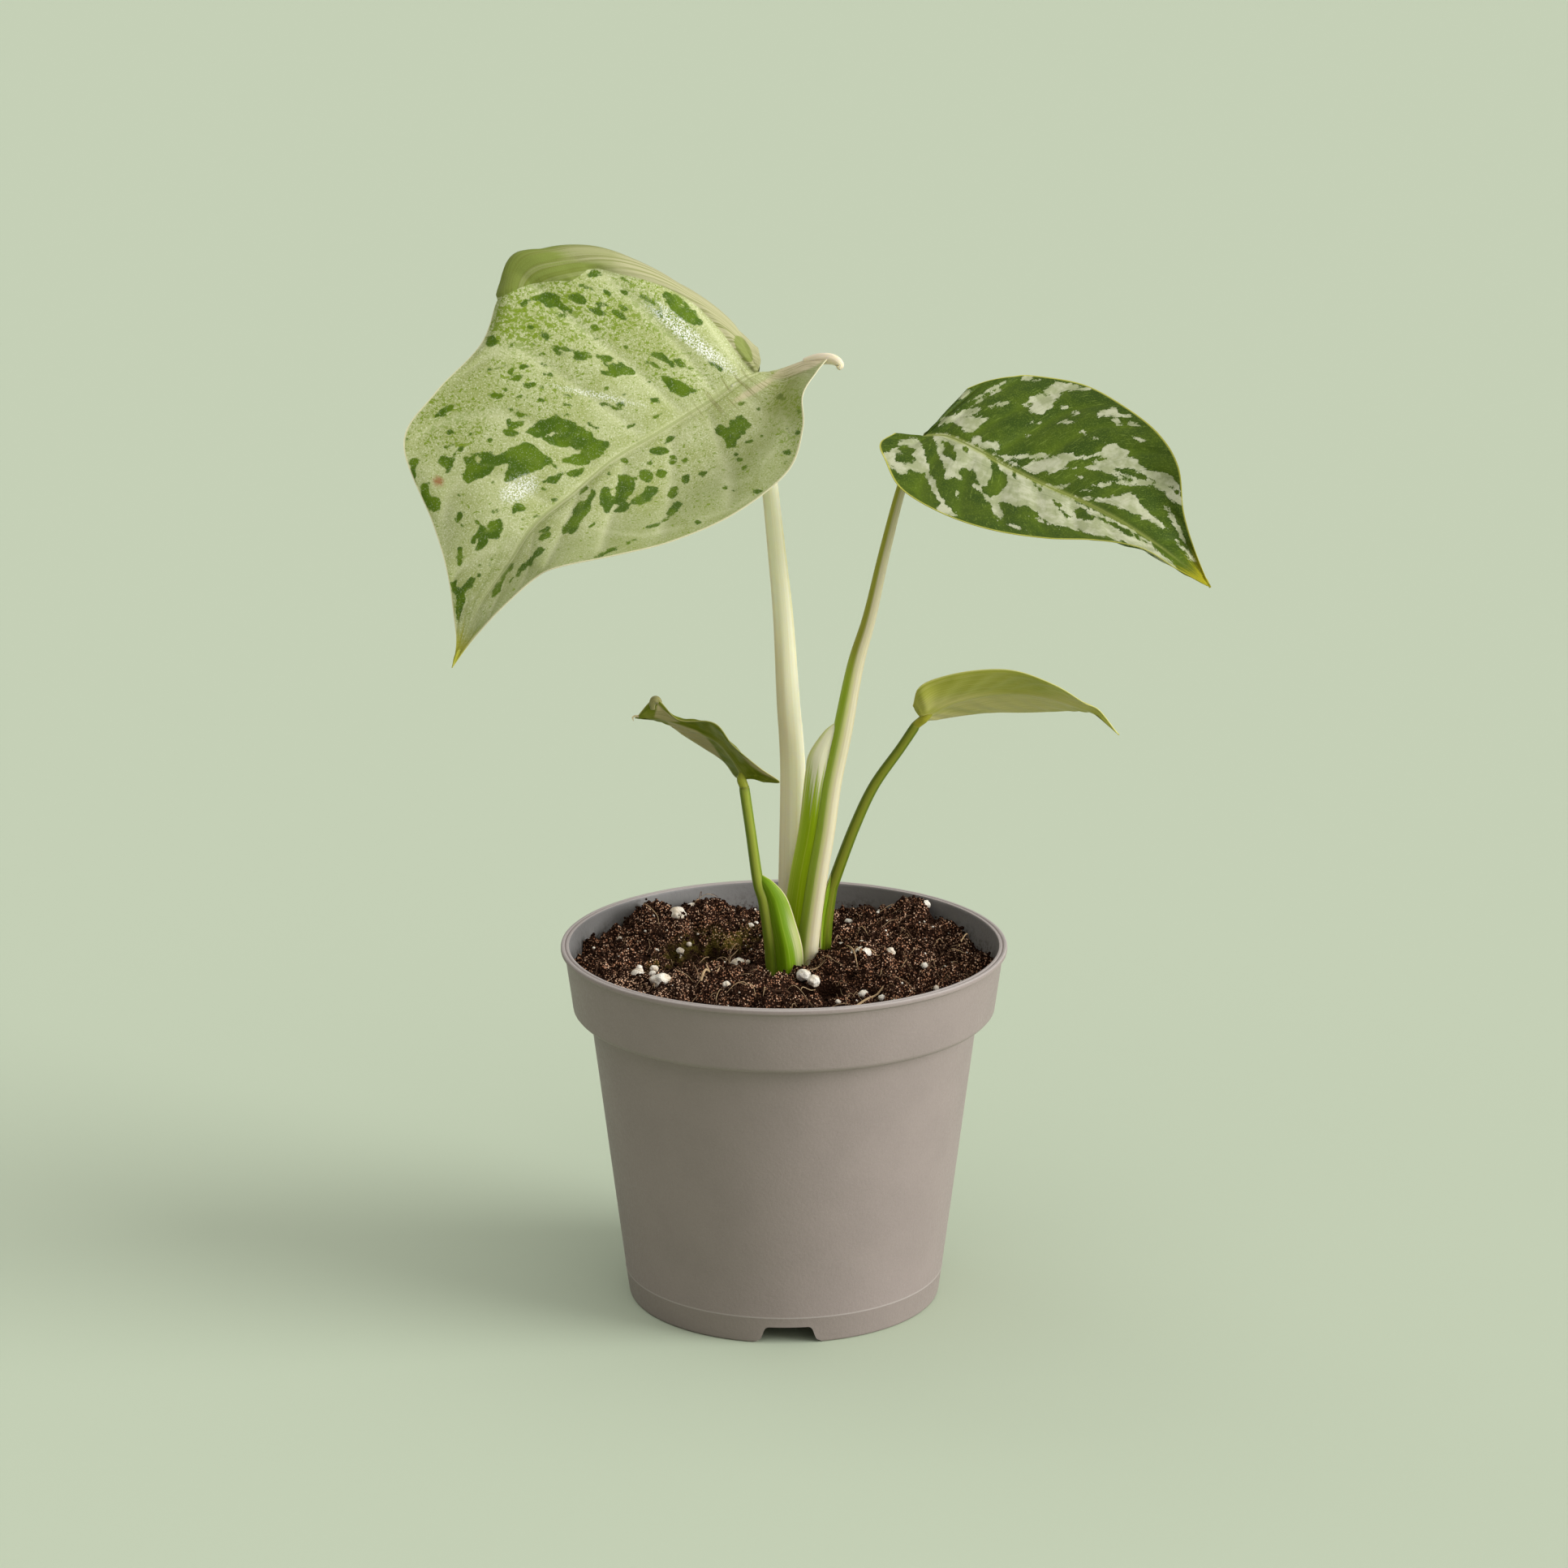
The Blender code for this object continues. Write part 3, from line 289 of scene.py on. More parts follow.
def insideOval(x, y, oval):
    cx, cy, width, height, turn = oval
    c, s = math.cos(math.radians(turn)), math.sin(math.radians(turn))
    dx, dy = x - cx, y - cy
    reach = np.hypot((dx * c + dy * s) / (width / 2), (dy * c - dx * s) / (height / 2))
    return (1 - reach) * min(width, height) / 2


def markField(points, marks):
    # How far inside the marks each point shows, in pixels of the photograph
    x, y = seenAt(points)
    deepest = np.full(len(x), -30.0)
    for corners in marks["patches"]:
        deepest = np.maximum(deepest, insidePatch(x, y, corners))
    for oval in marks["ovals"]:
        deepest = np.maximum(deepest, insideOval(x, y, oval))
    for corners in marks["gaps"]:
        deepest = np.minimum(deepest, -insidePatch(x, y, corners))
    for oval in marks["gapOvals"]:
        deepest = np.minimum(deepest, -insideOval(x, y, oval))
    return deepest


def lineField(points, lines, width):
    # 1 along the lines, fading out over the width
    x, y = seenAt(points)
    share = np.zeros(len(x))
    for line in lines:
        for (ax, ay), (bx, by) in zip(paired(line), paired(line)[1:]):
            dx, dy = bx - ax, by - ay
            t = np.clip(((x - ax) * dx + (y - ay) * dy) / (dx * dx + dy * dy), 0.0, 1.0)
            away = np.hypot(x - ax - t * dx, y - ay - t * dy)
            share = np.maximum(share, np.exp(-(away / width) ** 2))
    return share


def zoneField(points, zones):
    # A soft share from 0 to 1 around each zone: pixel of the photograph, width, height, turn, share
    x, y = seenAt(points)
    share = np.zeros(len(x))
    for cx, cy, width, height, turn, most in zones:
        share = np.maximum(share, most * soften(insideOval(x, y, (cx, cy, width, height, turn)),
                                                -min(width, height) / 4, min(width, height) / 4))
    return share


print("helpers ready")


potShape = {
    "steps": 192,
    "wall": 0.0012,
    "floorUnder": 0.0050,
    # What lies nearer the axis than these lines is the inside
    "insideHeights": (0.006, 0.083),
    "bandInside": lambda height: 0.0579 - (0.0986 - height) * 0.09,
    "bodyInside": lambda height: 0.0424 + 0.0098 * height / 0.0798 - 0.0006,
    "outline": [(0.0406, 0.0), (0.0416, 0.0), (0.0420, 0.00012), (0.04225, 0.00035), (0.0424, 0.0008),
                (0.04325, 0.00712), (0.04332, 0.0073), (0.04338, 0.0075), (0.04334, 0.0077), (0.04333, 0.0079),
                (0.0450, 0.0212), (0.0474, 0.0405), (0.0498, 0.0600), (0.0519, 0.0768),
                (0.05214, 0.0787), (0.0523, 0.0793), (0.0529, 0.0798), (0.0540, 0.0799), (0.0553, 0.0802),
                (0.0560, 0.0804), (0.0564, 0.0808), (0.0568, 0.0813), (0.0569, 0.0818),
                (0.0574, 0.0857), (0.0580, 0.0900), (0.0586, 0.0945), (0.05886, 0.09665), (0.0590, 0.0969),
                (0.0593, 0.09705), (0.0597, 0.0972), (0.05993, 0.0974), (0.0600, 0.0977), (0.0600, 0.0981),
                (0.0599, 0.0984), (0.0597, 0.09856), (0.0594, 0.0986), (0.0591, 0.09856),
                (0.05895, 0.0984), (0.0588, 0.0983), (0.05865, 0.0984), (0.0585, 0.09856),
                (0.0582, 0.0986), (0.0579, 0.09855), (0.05775, 0.0983), (0.0577, 0.0979),
                (0.0577, 0.0971), (0.0570, 0.0905), (0.0557, 0.0822), (0.0554, 0.0815), (0.0549, 0.0812),
                (0.0518, 0.0806), (0.0512, 0.0801), (0.0510, 0.0792), (0.0489, 0.0620), (0.0455, 0.0350),
                (0.0422, 0.0078), (0.0418, 0.0064), (0.0410, 0.0062)],
    "notchCount": 3, "firstNotch": -88.4, "notchReach": (0.0360, 0.0100),
    "notchOutline": [(-0.0092, -0.0010), (-0.0089, 0.0001), (-0.0084, 0.0006), (-0.0077, 0.0009),
                     (-0.0073, 0.0014), (-0.0068, 0.0028), (-0.0064, 0.0040), (-0.0060, 0.0045),
                     (-0.0054, 0.0048)],
    "drainCount": 6, "drainCircle": 0.0250, "drainRadius": 0.0030,
}
potLook = {"plastic": (0.276, 0.226, 0.209), "roughness": 0.52, "specular": 0.30, "patchiness": 0.06,
           "leatherSize": 1100.0, "leatherDepth": 0.00016, "dust": (0.46, 0.42, 0.38),
           "insideGrey": (0.215, 0.208, 0.200), "dirt": (0.05, 0.027, 0.016), "sheenAndSeam": (0.50, 0.46, 0.43)}


def turnedPot():
    deselectAll()
    start = potShape["outline"][0]
    bpy.ops.mesh.primitive_circle_add(vertices=potShape["steps"], radius=start[0],
                                      location=(potAxis[0], potAxis[1], start[1]), fill_type="NOTHING")
    pot = named(bpy.context.object, "nurseryPot")
    bpy.ops.object.transform_apply(location=True, rotation=True, scale=True)
    bpy.ops.object.mode_set(mode="EDIT")
    bpy.ops.mesh.select_all(action="SELECT")
    for (r, z), (nextR, nextZ) in zip(potShape["outline"], potShape["outline"][1:]):
        bpy.ops.mesh.extrude_region_move(TRANSFORM_OT_translate={"value": (0, 0, nextZ - z)})
        bpy.ops.transform.resize(value=(nextR / r, nextR / r, 1), center_override=(potAxis[0], potAxis[1], nextZ))
    bpy.ops.mesh.edge_face_add()   # the floor inside
    bpy.ops.object.mode_set(mode="OBJECT")
    points = getPoints(pot.data)
    foot = np.hypot(*(points - potAxis)[:, :2].T) < start[0] + 1e-5
    foot &= points[:, 2] < start[1] + 1e-6
    for vertex, chosen in zip(pot.data.vertices, foot):
        vertex.select = bool(chosen)
    bpy.ops.object.mode_set(mode="EDIT")
    bpy.ops.mesh.extrude_region_move(TRANSFORM_OT_translate={"value": (0, 0, potShape["floorUnder"])})
    bpy.ops.mesh.edge_face_add()   # the floor from below
    bpy.ops.mesh.select_all(action="SELECT")
    bpy.ops.mesh.remove_doubles(threshold=0.000002)
    bpy.ops.mesh.normals_make_consistent(inside=False)
    bpy.ops.object.mode_set(mode="OBJECT")
    return pot


def notchCutter(turn):
    outline = potShape["notchOutline"] + [(-x, z) for x, z in reversed(potShape["notchOutline"])]
    outward = np.array([math.cos(turn), math.sin(turn), 0.0])
    across = np.array([-math.sin(turn), math.cos(turn), 0.0])
    deselectAll()
    bpy.ops.mesh.primitive_circle_add(vertices=len(outline), radius=0.01, fill_type="NGON")
    cutter = named(bpy.context.object, "notchCutter")
    start, run = potShape["notchReach"]
    setPoints(cutter.data, [potAxis + outward * start + across * x + np.array([0, 0, z]) for x, z in outline])
    bpy.ops.object.mode_set(mode="EDIT")
    bpy.ops.mesh.select_all(action="SELECT")
    bpy.ops.mesh.extrude_region_move(TRANSFORM_OT_translate={"value": tuple(outward * run)})
    bpy.ops.mesh.select_all(action="SELECT")
    bpy.ops.mesh.normals_make_consistent(inside=False)
    bpy.ops.object.mode_set(mode="OBJECT")
    return cutter


def drainCutter(turn):
    deselectAll()
    place = potAxis + np.array([math.cos(turn), math.sin(turn), 0.0]) * potShape["drainCircle"]
    bpy.ops.mesh.primitive_cylinder_add(vertices=24, radius=potShape["drainRadius"], depth=potShape["wall"] * 6,
                                        location=(place[0], place[1], potShape["floorUnder"]))
    return named(bpy.context.object, "drainCutter")


def cutAway(piece, cutters):
    for cutter in cutters:
        modifier = piece.modifiers.new("cut", "BOOLEAN")
        modifier.operation = "DIFFERENCE"
        modifier.solver = "EXACT"
        modifier.object = cutter
    applyAll(piece)
    for cutter in cutters:
        bpy.data.objects.remove(cutter, do_unlink=True)


def potMaterial():
    look = potLook
    mat = startMaterial("taupePlastic", look["roughness"], look["specular"])
    place = objectPlace()
    parts = addNode("SeparateXYZ", {0: place})
    leather = grain(place, look["leatherSize"], 3.0, 0.55)
    coarse = grain(place, 60.0, 3.0, 0.6)
    colour = tint(between(coarse, 0.35, 0.7, 0.0, 1.0), look["plastic"],
                  tuple(c * (1 - look["patchiness"]) for c in look["plastic"]))
    fine = between(grain(place, 2600.0, 1.0, 0.5), 0.3, 0.7, 0.0, 0.06)
    colour = tint(fine, colour, look["dust"])
    # Light lines: a painted highlight along the top of the rim's lip, and a lighter line along the seam above the
    # foot
    lip = between(parts.outputs["Z"], 0.09825, 0.0985, 0.0, 0.55)
    seam = times(between(parts.outputs["Z"], 0.00725, 0.00745),
                 between(parts.outputs["Z"], 0.00785, 0.00765, 0.0, 0.3))
    colour = tint(plus(lip, seam), colour, look["sheenAndSeam"])
    # The inner wall is greyer, with earth dusted on it just above the soil
    inner = field("inside")
    colour = tint(inner, colour, look["insideGrey"])
    low = between(parts.outputs["Z"], 0.0968, 0.0885)
    crumbs = between(grain(place, 520.0, 4.0, 0.7), 0.50, 0.57)
    dirty = times(times(low, crumbs), inner)
    colour = tint(dirty, colour, look["dirt"])
    onto("Base Color", colour)
    rough = between(leather, 0.3, 0.7, look["roughness"] - 0.05, look["roughness"] + 0.1)
    onto("Roughness", rough)
    bumpy(leather, look["leatherDepth"], 0.55)
    return mat


pot = turnedPot()
cutAway(pot, [notchCutter(math.radians(potShape["firstNotch"]) + math.tau * k / potShape["notchCount"])
              for k in range(potShape["notchCount"])])
cutAway(pot, [drainCutter(math.tau * k / potShape["drainCount"]) for k in range(potShape["drainCount"])])
potPoints = getPoints(pot.data)
reach, height = np.hypot(*(potPoints - potAxis)[:, :2].T), potPoints[:, 2]
floorTop, shoulder = potShape["insideHeights"]
inBand = (height > shoulder) & (reach < potShape["bandInside"](height))
inBody = (height <= shoulder) & (height > floorTop) & (reach < potShape["bodyInside"](height))
writeField(pot.data, "inside", (inBand | inBody).astype(float))
finishPiece(pot, potMaterial(), "pot", 35)
print("pot ready:", len(pot.data.polygons), "faces")


soilShape = {
    "cells": 305, "rim": 0.0572, "level": 0.0900, "lowest": 0.0862,
    "wallFrom": 0.0465, "wallWithin": 0.0035, "fall": (0.0016, 0.0540, 0.0572), "wallTop": (0.0577, 0.0971),
    "wallSlope": 0.10, "clearance": 0.0002, "skirtShrink": 0.965,
    "skirtStart": 0.0542, "skirtTop": 0.0825, "skirt": [(0.0538, 0.0822), (0.0500, 0.0790), (0.0410, 0.0065)],
    "mounds": [(0.020, 0.000, 0.013, 0.0045), (0.030, 0.012, 0.014, 0.0030),
               (-0.038, 0.034, 0.012, 0.0060), (-0.022, 0.040, 0.010, 0.0045),
               (0.038, 0.036, 0.009, 0.0075), (0.020, 0.036, 0.012, 0.0035),
               (-0.047, 0.004, 0.012, 0.0040), (-0.018, 0.022, 0.011, -0.0045),
               (0.047, 0.012, 0.010, 0.0015), (-0.006, -0.022, 0.014, 0.0020),
               (-0.030, -0.014, 0.010, 0.0010), (0.004, -0.046, 0.016, -0.0030),
               (0.008, 0.024, 0.010, -0.0020)],
    "clods": [(0.011, 0.0016), (0.005, 0.0010)],
    "fineClods": [(0.0120, 0.0048), (0.0055, 0.0032), (0.0024, 0.0011), (0.0010, 0.0004)],
    "hollows": [(0.012, -0.017, 0.0065, 0.0050), (0.022, -0.030, 0.0060, 0.0040), (-0.002, -0.022, 0.0045, 0.0034),
                (-0.0095, 0.007, 0.0050, 0.0048), (0.0285, 0.004, 0.0045, 0.0036), (-0.024, 0.019, 0.0090, 0.0040),
                (-0.036, -0.003, 0.0050, 0.0030), (0.036, -0.004, 0.0045, 0.0030), (0.046, 0.004, 0.0060, 0.0028)],
    "paintedHollowShade": (0.92, 0.0008, 0.0034), "crestFrom": (-0.0022, 0.0016), "skirtDrop": 0.004,
    # Zones in pixels of the photograph
    # Painted light: patches of earth painted lighter where light falls on them
    "paintedLitPatch": [(790, 1212, 120, 34, 0, 1.0), (1190, 1170, 90, 40, 0, 0.5), (1000, 1245, 70, 16, 0, 0.5)],
    "moss": [(880, 1162, 110, 34, -12, 0.55), (835, 1178, 70, 20, -20, 0.5)],
}
# The bead colour is painted light on bead tops and also the colour of paler crumbs; the dark colour is painted shade
# between the beads and in the hollows
soilLook = {"paleLitBead": (0.97, 0.70, 0.50), "brown": (0.52, 0.24, 0.135), "dark": (0.022, 0.009, 0.005),
            "rusty": (0.76, 0.38, 0.205), "moss": (0.17, 0.135, 0.020), "paintedLitPatch": (0.92, 0.58, 0.37), "roughness": 0.95,
            "beadSize": 1700.0, "beadDepth": 0.0007}


def soilHeight(x, y):
    z = soilShape["level"]
    for mx, my, radius, rise in soilShape["mounds"]:
        z += rise * math.exp(-((x - mx) ** 2 + (y - my) ** 2) / radius ** 2)
    for size, rise in soilShape["clods"]:
        z += rise * noise.noise(Vector((x / size, y / size, rise / size)))
    return z


def hollowDepth(x, y):
    return sum(fall * math.exp(-((x - hx) ** 2 + (y - hy) ** 2) / radius ** 2)
               for hx, hy, radius, fall in soilShape["hollows"])


def clodHeight(x, y):
    # Crumbly lumps on top of the mounds: rounded up, sharply creased between
    z = -hollowDepth(x, y)
    for size, rise in soilShape["fineClods"]:
        z += rise * (0.42 - 1.8 * abs(noise.noise(Vector((x / size, y / size, 3.0)))))
    return z


def soilSurface(x, y):
    # By the wall the earth stays above the pot's shoulder
    z = soilHeight(x, y) + clodHeight(x, y)
    byWall = min(1.0, max(0.0, (math.hypot(x, y) - soilShape["wallFrom"]) / soilShape["wallWithin"]))
    return max(z, z + (soilShape["lowest"] - z) * byWall)


def ontoDisc(u, v):
    # A square of points pressed into a disc, so that the rim is round
    a, b = 2 * u - 1, 2 * v - 1
    wide = np.abs(a) > np.abs(b)
    big = np.where(wide, a, b)
    small = np.where(wide, b, a)
    turn = np.divide(small, big, out=np.zeros_like(big), where=big != 0) * math.pi / 4
    x, y = big * np.cos(turn), big * np.sin(turn)
    return np.where(wide, x, y), np.where(wide, y, x)


def soilPlace(u, v):
    x, y = ontoDisc(u, v)
    x, y = x * soilShape["rim"], y * soilShape["rim"]
    z = np.array([soilSurface(px, py) for px, py in zip(x, y)])
    reach = np.hypot(x, y)
    fall, start, end = soilShape["fall"]
    z -= fall * soften(reach, start, end)   # the earth falls away a little at the wall
    # The pot narrows downwards, so the rim follows its wall
    widest, height = soilShape["wallTop"]
    wallAt = widest - soilShape["wallSlope"] * (height - np.minimum(z, height)) - soilShape["clearance"]
    pull = np.minimum(1.0, wallAt / np.maximum(reach, 1e-6))
    return np.stack([x * pull, y * pull, z], axis=1) + potAxis


def soilMaterial():
    look = soilLook
    mat = startMaterial("pottingSoil", look["roughness"], 0.05)
    place = objectPlace()
    # Tiny beads: painted light on their tops and painted shade almost black between, in patches of more and less
    lumps = grain(place, 240.0, 4.0, 0.65)
    beads = cells(place, look["beadSize"])
    beadTone = addNode("SeparateColor", {0: cells(place, look["beadSize"], "Color")}).outputs[0]
    # Off the crests the lit bead tops fade into painted shade; on the crests they are painted brighter, as painted
    # light
    crest = field("crest")
    patch = times(between(lumps, 0.36, 0.56, 0.10, 1.0), between(crest, 0.22, 0.62, 0.08, 1.0))
    # Painted light: the lit patches show more lit bead tops and a lighter colour
    patch = maths("MAXIMUM", patch, times(field("paintedLitPatch"), 0.75))
    onBead = times(between(beads, 0.50, 0.20), patch)
    colour = tint(between(beadTone, 0.0, 1.0), look["brown"], look["rusty"])
    colour = tint(times(field("paintedLitPatch"), 0.7), colour, look["paintedLitPatch"])
    colour = tint(onBead, look["dark"], colour)
    bright = times(between(beadTone, 0.50, 0.90), times(onBead, between(crest, 0.2, 0.8, 0.5, 1.0)))
    colour = tint(bright, colour, look["paleLitBead"])
    colour = tint(times(field("tone"), onBead), colour, look["paleLitBead"])
    mossy = times(field("moss"), between(grain(place, 330.0, 3.0, 0.6), 0.38, 0.6))
    colour = tint(mossy, colour, look["moss"])
    # Painted shade in the hollows
    colour = tint(field("hollowShade"), colour, look["dark"])
    onto("Base Color", colour)
    bumpy(times(beads, -1.0), look["beadDepth"], 0.9)
    return mat


soil, _, _ = layGrid("pottingSoil", soilShape["cells"], soilShape["cells"], soilPlace)
top = getPoints(soil.data)
local = top - potAxis
smoothLevel = np.array([soilHeight(x, y) for x, y in local[:, :2]])
# Painted shade: the earth is painted darker where it sinks below its smooth level
darkest, start, end = soilShape["paintedHollowShade"]
writeField(soil.data, "hollowShade", darkest * soften(smoothLevel - top[:, 2], start, end))
clods = np.array([clodHeight(x, y) for x, y in local[:, :2]])
writeField(soil.data, "crest", soften(clods, *soilShape["crestFrom"]))
for patch in ("paintedLitPatch", "moss"):
    writeField(soil.data, patch, zoneField(top, soilShape[patch]))
pick(soil)
bpy.ops.object.mode_set(mode="EDIT")
bpy.ops.mesh.select_mode(type="EDGE")
bpy.ops.mesh.select_all(action="DESELECT")
bpy.ops.mesh.select_non_manifold(extend=False, use_wire=False, use_multi_face=False, use_non_contiguous=False,
                                 use_verts=False)
# The earth narrows at once below its rim, to stay inside the pot wall
ring = soilShape["skirtStart"]
bpy.ops.mesh.extrude_region_move(TRANSFORM_OT_translate={"value": (0, 0, -soilShape["skirtDrop"])})
bpy.ops.transform.resize(value=(soilShape["skirtShrink"], soilShape["skirtShrink"], 0),
                         center_override=(potAxis[0], potAxis[1], soilShape["skirtTop"]))
for radius, height in soilShape["skirt"]:
    bpy.ops.mesh.extrude_region_move(TRANSFORM_OT_translate={"value": (0, 0, 0)})
    bpy.ops.transform.resize(value=(radius / ring, radius / ring, 1), center_override=(*potAxis[:2], 0))
    bpy.ops.transform.resize(value=(1, 1, 0), center_override=(*potAxis[:2], height))
    ring = radius
bpy.ops.mesh.edge_face_add()
bpy.ops.mesh.select_mode(type="VERT")
bpy.ops.object.mode_set(mode="OBJECT")
finishPiece(soil, soilMaterial(), "soil", 80)
print("soil ready:", len(soil.data.polygons), "faces")


# Stalks: points up the middle, each with its radius; sheaths: rows of points from the stalk outwards
stemFoot = 0.0790
largeStalk = [((0.0026, 0.0118, stemFoot), 0.0038), ((0.0022, 0.0125, 0.0973), 0.0038),
              ((0.0022, 0.0130, 0.1108), 0.0037), ((0.0024, 0.0138, 0.1424), 0.0034),
              ((0.0011, 0.0138, 0.1631), 0.0031), ((-0.0002, 0.0130, 0.1853), 0.0027),
              ((-0.0019, 0.0120, 0.2032), 0.0024), ((-0.0034, 0.0110, 0.2181), 0.0022),
              ((-0.0053, 0.0092, 0.2366), 0.0020), ((-0.0064, 0.0078, 0.2480), 0.0020)]
rightStalk = [((0.0060, 0.0055, stemFoot), 0.0031), ((0.0064, 0.0050, 0.0960), 0.0030),
              ((0.0087, 0.0050, 0.1143), 0.0029), ((0.0109, 0.0050, 0.1281), 0.0028),
              ((0.0128, 0.0050, 0.1419), 0.0027), ((0.0157, 0.0050, 0.1563), 0.0026),
              ((0.0190, 0.0060, 0.1736), 0.0022), ((0.0227, 0.0060, 0.1869), 0.0018),
              ((0.0266, 0.0060, 0.2045), 0.0015), ((0.0310, 0.0060, 0.2219), 0.0013),
              ((0.0348, 0.0055, 0.2315), 0.0013)]
smallLeftStalk = [((-0.0024, 0.0002, stemFoot), 0.0022), ((-0.0028, 0.0000, 0.0907), 0.0021),
                  ((-0.0039, -0.0008, 0.1013), 0.0018), ((-0.0054, -0.0010, 0.1104), 0.0016),
                  ((-0.0070, -0.0010, 0.1161), 0.0015), ((-0.0089, -0.0010, 0.1298), 0.0014),
                  ((-0.0104, -0.0008, 0.1405), 0.0014)]
smallRightStalk = [((0.0106, 0.0098, stemFoot), 0.0019), ((0.0112, 0.0100, 0.0979), 0.0018),
                   ((0.0127, 0.0100, 0.1094), 0.0016), ((0.0138, 0.0100, 0.1135), 0.0016),
                   ((0.0190, 0.0100, 0.1279), 0.0015), ((0.0242, 0.0100, 0.1394), 0.0014),
                   ((0.0311, 0.0100, 0.1496), 0.0013), ((0.0346, 0.0100, 0.1550), 0.0013)]
rightSheath = [[(0.0160, 0.0050, 0.1580), (0.0150, 0.0048, 0.1582), (0.0139, 0.0050, 0.1584)],
               [(0.0155, 0.0050, 0.1550), (0.0130, 0.0040, 0.1556), (0.0106, 0.0046, 0.1558)],
               [(0.0143, 0.0050, 0.1495), (0.0105, 0.0036, 0.1500), (0.0067, 0.0048, 0.1498)],
               [(0.0128, 0.0050, 0.1420), (0.0092, 0.0036, 0.1430), (0.0057, 0.0060, 0.1440)],
               [(0.0109, 0.0050, 0.1285), (0.0073, 0.0040, 0.1285), (0.0040, 0.0074, 0.1287)],
               [(0.0087, 0.0050, 0.1143), (0.0048, 0.0044, 0.1143), (0.0013, 0.0078, 0.1142)],
               [(0.0070, 0.0050, 0.1000), (0.0032, 0.0044, 0.1000), (-0.0004, 0.0080, 0.1000)],
               [(0.0062, 0.0054, 0.0890), (0.0028, 0.0048, 0.0890), (-0.0008, 0.0080, 0.0890)],
               [(0.0060, 0.0055, stemFoot), (0.0028, 0.0048, stemFoot), (-0.0008, 0.0080, stemFoot)]]
smallLeftSheath = [[(-0.0070, -0.0010, 0.1160), (-0.0065, -0.0012, 0.1170), (-0.0061, -0.0012, 0.1180)],
                   [(-0.0065, -0.0010, 0.1140), (-0.0046, -0.0022, 0.1150), (-0.0026, -0.0014, 0.1156)],
                   [(-0.0054, -0.0010, 0.1104), (-0.0026, -0.0026, 0.1108), (0.0007, -0.0010, 0.1113)],
                   [(-0.0043, -0.0009, 0.1040), (-0.0010, -0.0032, 0.1040), (0.0031, -0.0004, 0.1040)],
                   [(-0.0034, -0.0005, 0.0965), (0.0006, -0.0034, 0.0965), (0.0049, 0.0004, 0.0967)],
                   [(-0.0028, 0.0000, 0.0890), (0.0012, -0.0034, 0.0890), (0.0052, 0.0008, 0.0890)],
                   [(-0.0024, 0.0002, stemFoot), (0.0014, -0.0030, stemFoot), (0.0052, 0.0010, stemFoot)]]
smallRightSheath = [[(0.0136, 0.0100, 0.1140), (0.0131, 0.0096, 0.1144), (0.0127, 0.0094, 0.1148)],
                    [(0.0127, 0.0100, 0.1094), (0.0117, 0.0086, 0.1094), (0.0109, 0.0080, 0.1094)],
                    [(0.0113, 0.0100, 0.0985), (0.0103, 0.0086, 0.0985), (0.0099, 0.0076, 0.0985)],
                    [(0.0106, 0.0098, stemFoot), (0.0098, 0.0086, stemFoot), (0.0098, 0.0076, stemFoot)]]

# How a stalk runs on past its CAD end, through the bend and into the midrib
kneeRun = {"bend": 0.40, "lean": 0.20, "sunk": 0.75, "endSize": 0.35, "thickness": 0.0008}


def withKnee(stalk, joint, ahead, upward, flare):
    joint, ahead, upward = (np.array(p) for p in (joint, ahead, upward))
    end, radius = np.array(stalk[-1][0]), stalk[-1][1]
    along = end - np.array(stalk[-2][0])
    along /= np.linalg.norm(along)
    bend = end + along * np.linalg.norm(joint - end) * kneeRun["bend"]
    under = joint + (ahead - joint) * kneeRun["lean"] - upward * radius * kneeRun["sunk"]
    last = ahead - upward * kneeRun["thickness"] / 2
    sizes = [1 - (1 - kneeRun["endSize"]) * share for share in (0.33, 0.67, 1.0)]
    sizes = [size + flare * share for size, share in zip(sizes, (0.3, 0.9, 0.3))]
    knee = [(tuple(p), radius * size) for p, size in zip((bend, under, last), sizes)]
    return stalk + knee


def roundStalk(name, stalk, around=40, along=150, ridges=0.02):
    # u runs round the stalk from its back past its left side, v runs up it
    centres = np.array([p for p, _ in stalk])
    radii = np.array([[r] for _, r in stalk])

    def place(u, v):
        middle = smoothThrough(centres, v)
        run = smoothThrough(centres, np.minimum(v + 0.004, 1)) - smoothThrough(centres, np.maximum(v - 0.004, 0))
        run /= np.linalg.norm(run, axis=1)[:, None]
        side = np.cross(run, (0.0, 1.0, 0.0))
        side /= np.linalg.norm(side, axis=1)[:, None]
        out = np.cross(side, run)
        turn = math.pi / 2 - math.tau * u
        radius = smoothThrough(radii, v)[:, 0]
        radius = radius * (1 + ridges * np.cos(turn * 9) * 0.5 + ridges * np.cos(turn * 23 + 1) * 0.4)
        radius = radius * np.where((v <= 0) | (v >= 1), 0.55, 1.0)
        ring = side * np.cos(turn)[:, None] + out * np.sin(turn)[:, None]
        return potAxis + middle + ring * radius[:, None]

    stem, _, _ = layGrid(name, around, along, place)
    mergeDoubles(stem, 0.000001)
    pick(stem)
    bpy.ops.object.mode_set(mode="EDIT")
    bpy.ops.mesh.select_mode(type="EDGE")
    bpy.ops.mesh.select_all(action="DESELECT")
    bpy.ops.mesh.select_non_manifold(extend=False, use_wire=False, use_multi_face=False, use_non_contiguous=False,
                                     use_verts=False)
    bpy.ops.mesh.fill()
    bpy.ops.mesh.select_mode(type="VERT")
    bpy.ops.object.mode_set(mode="OBJECT")
    return stem


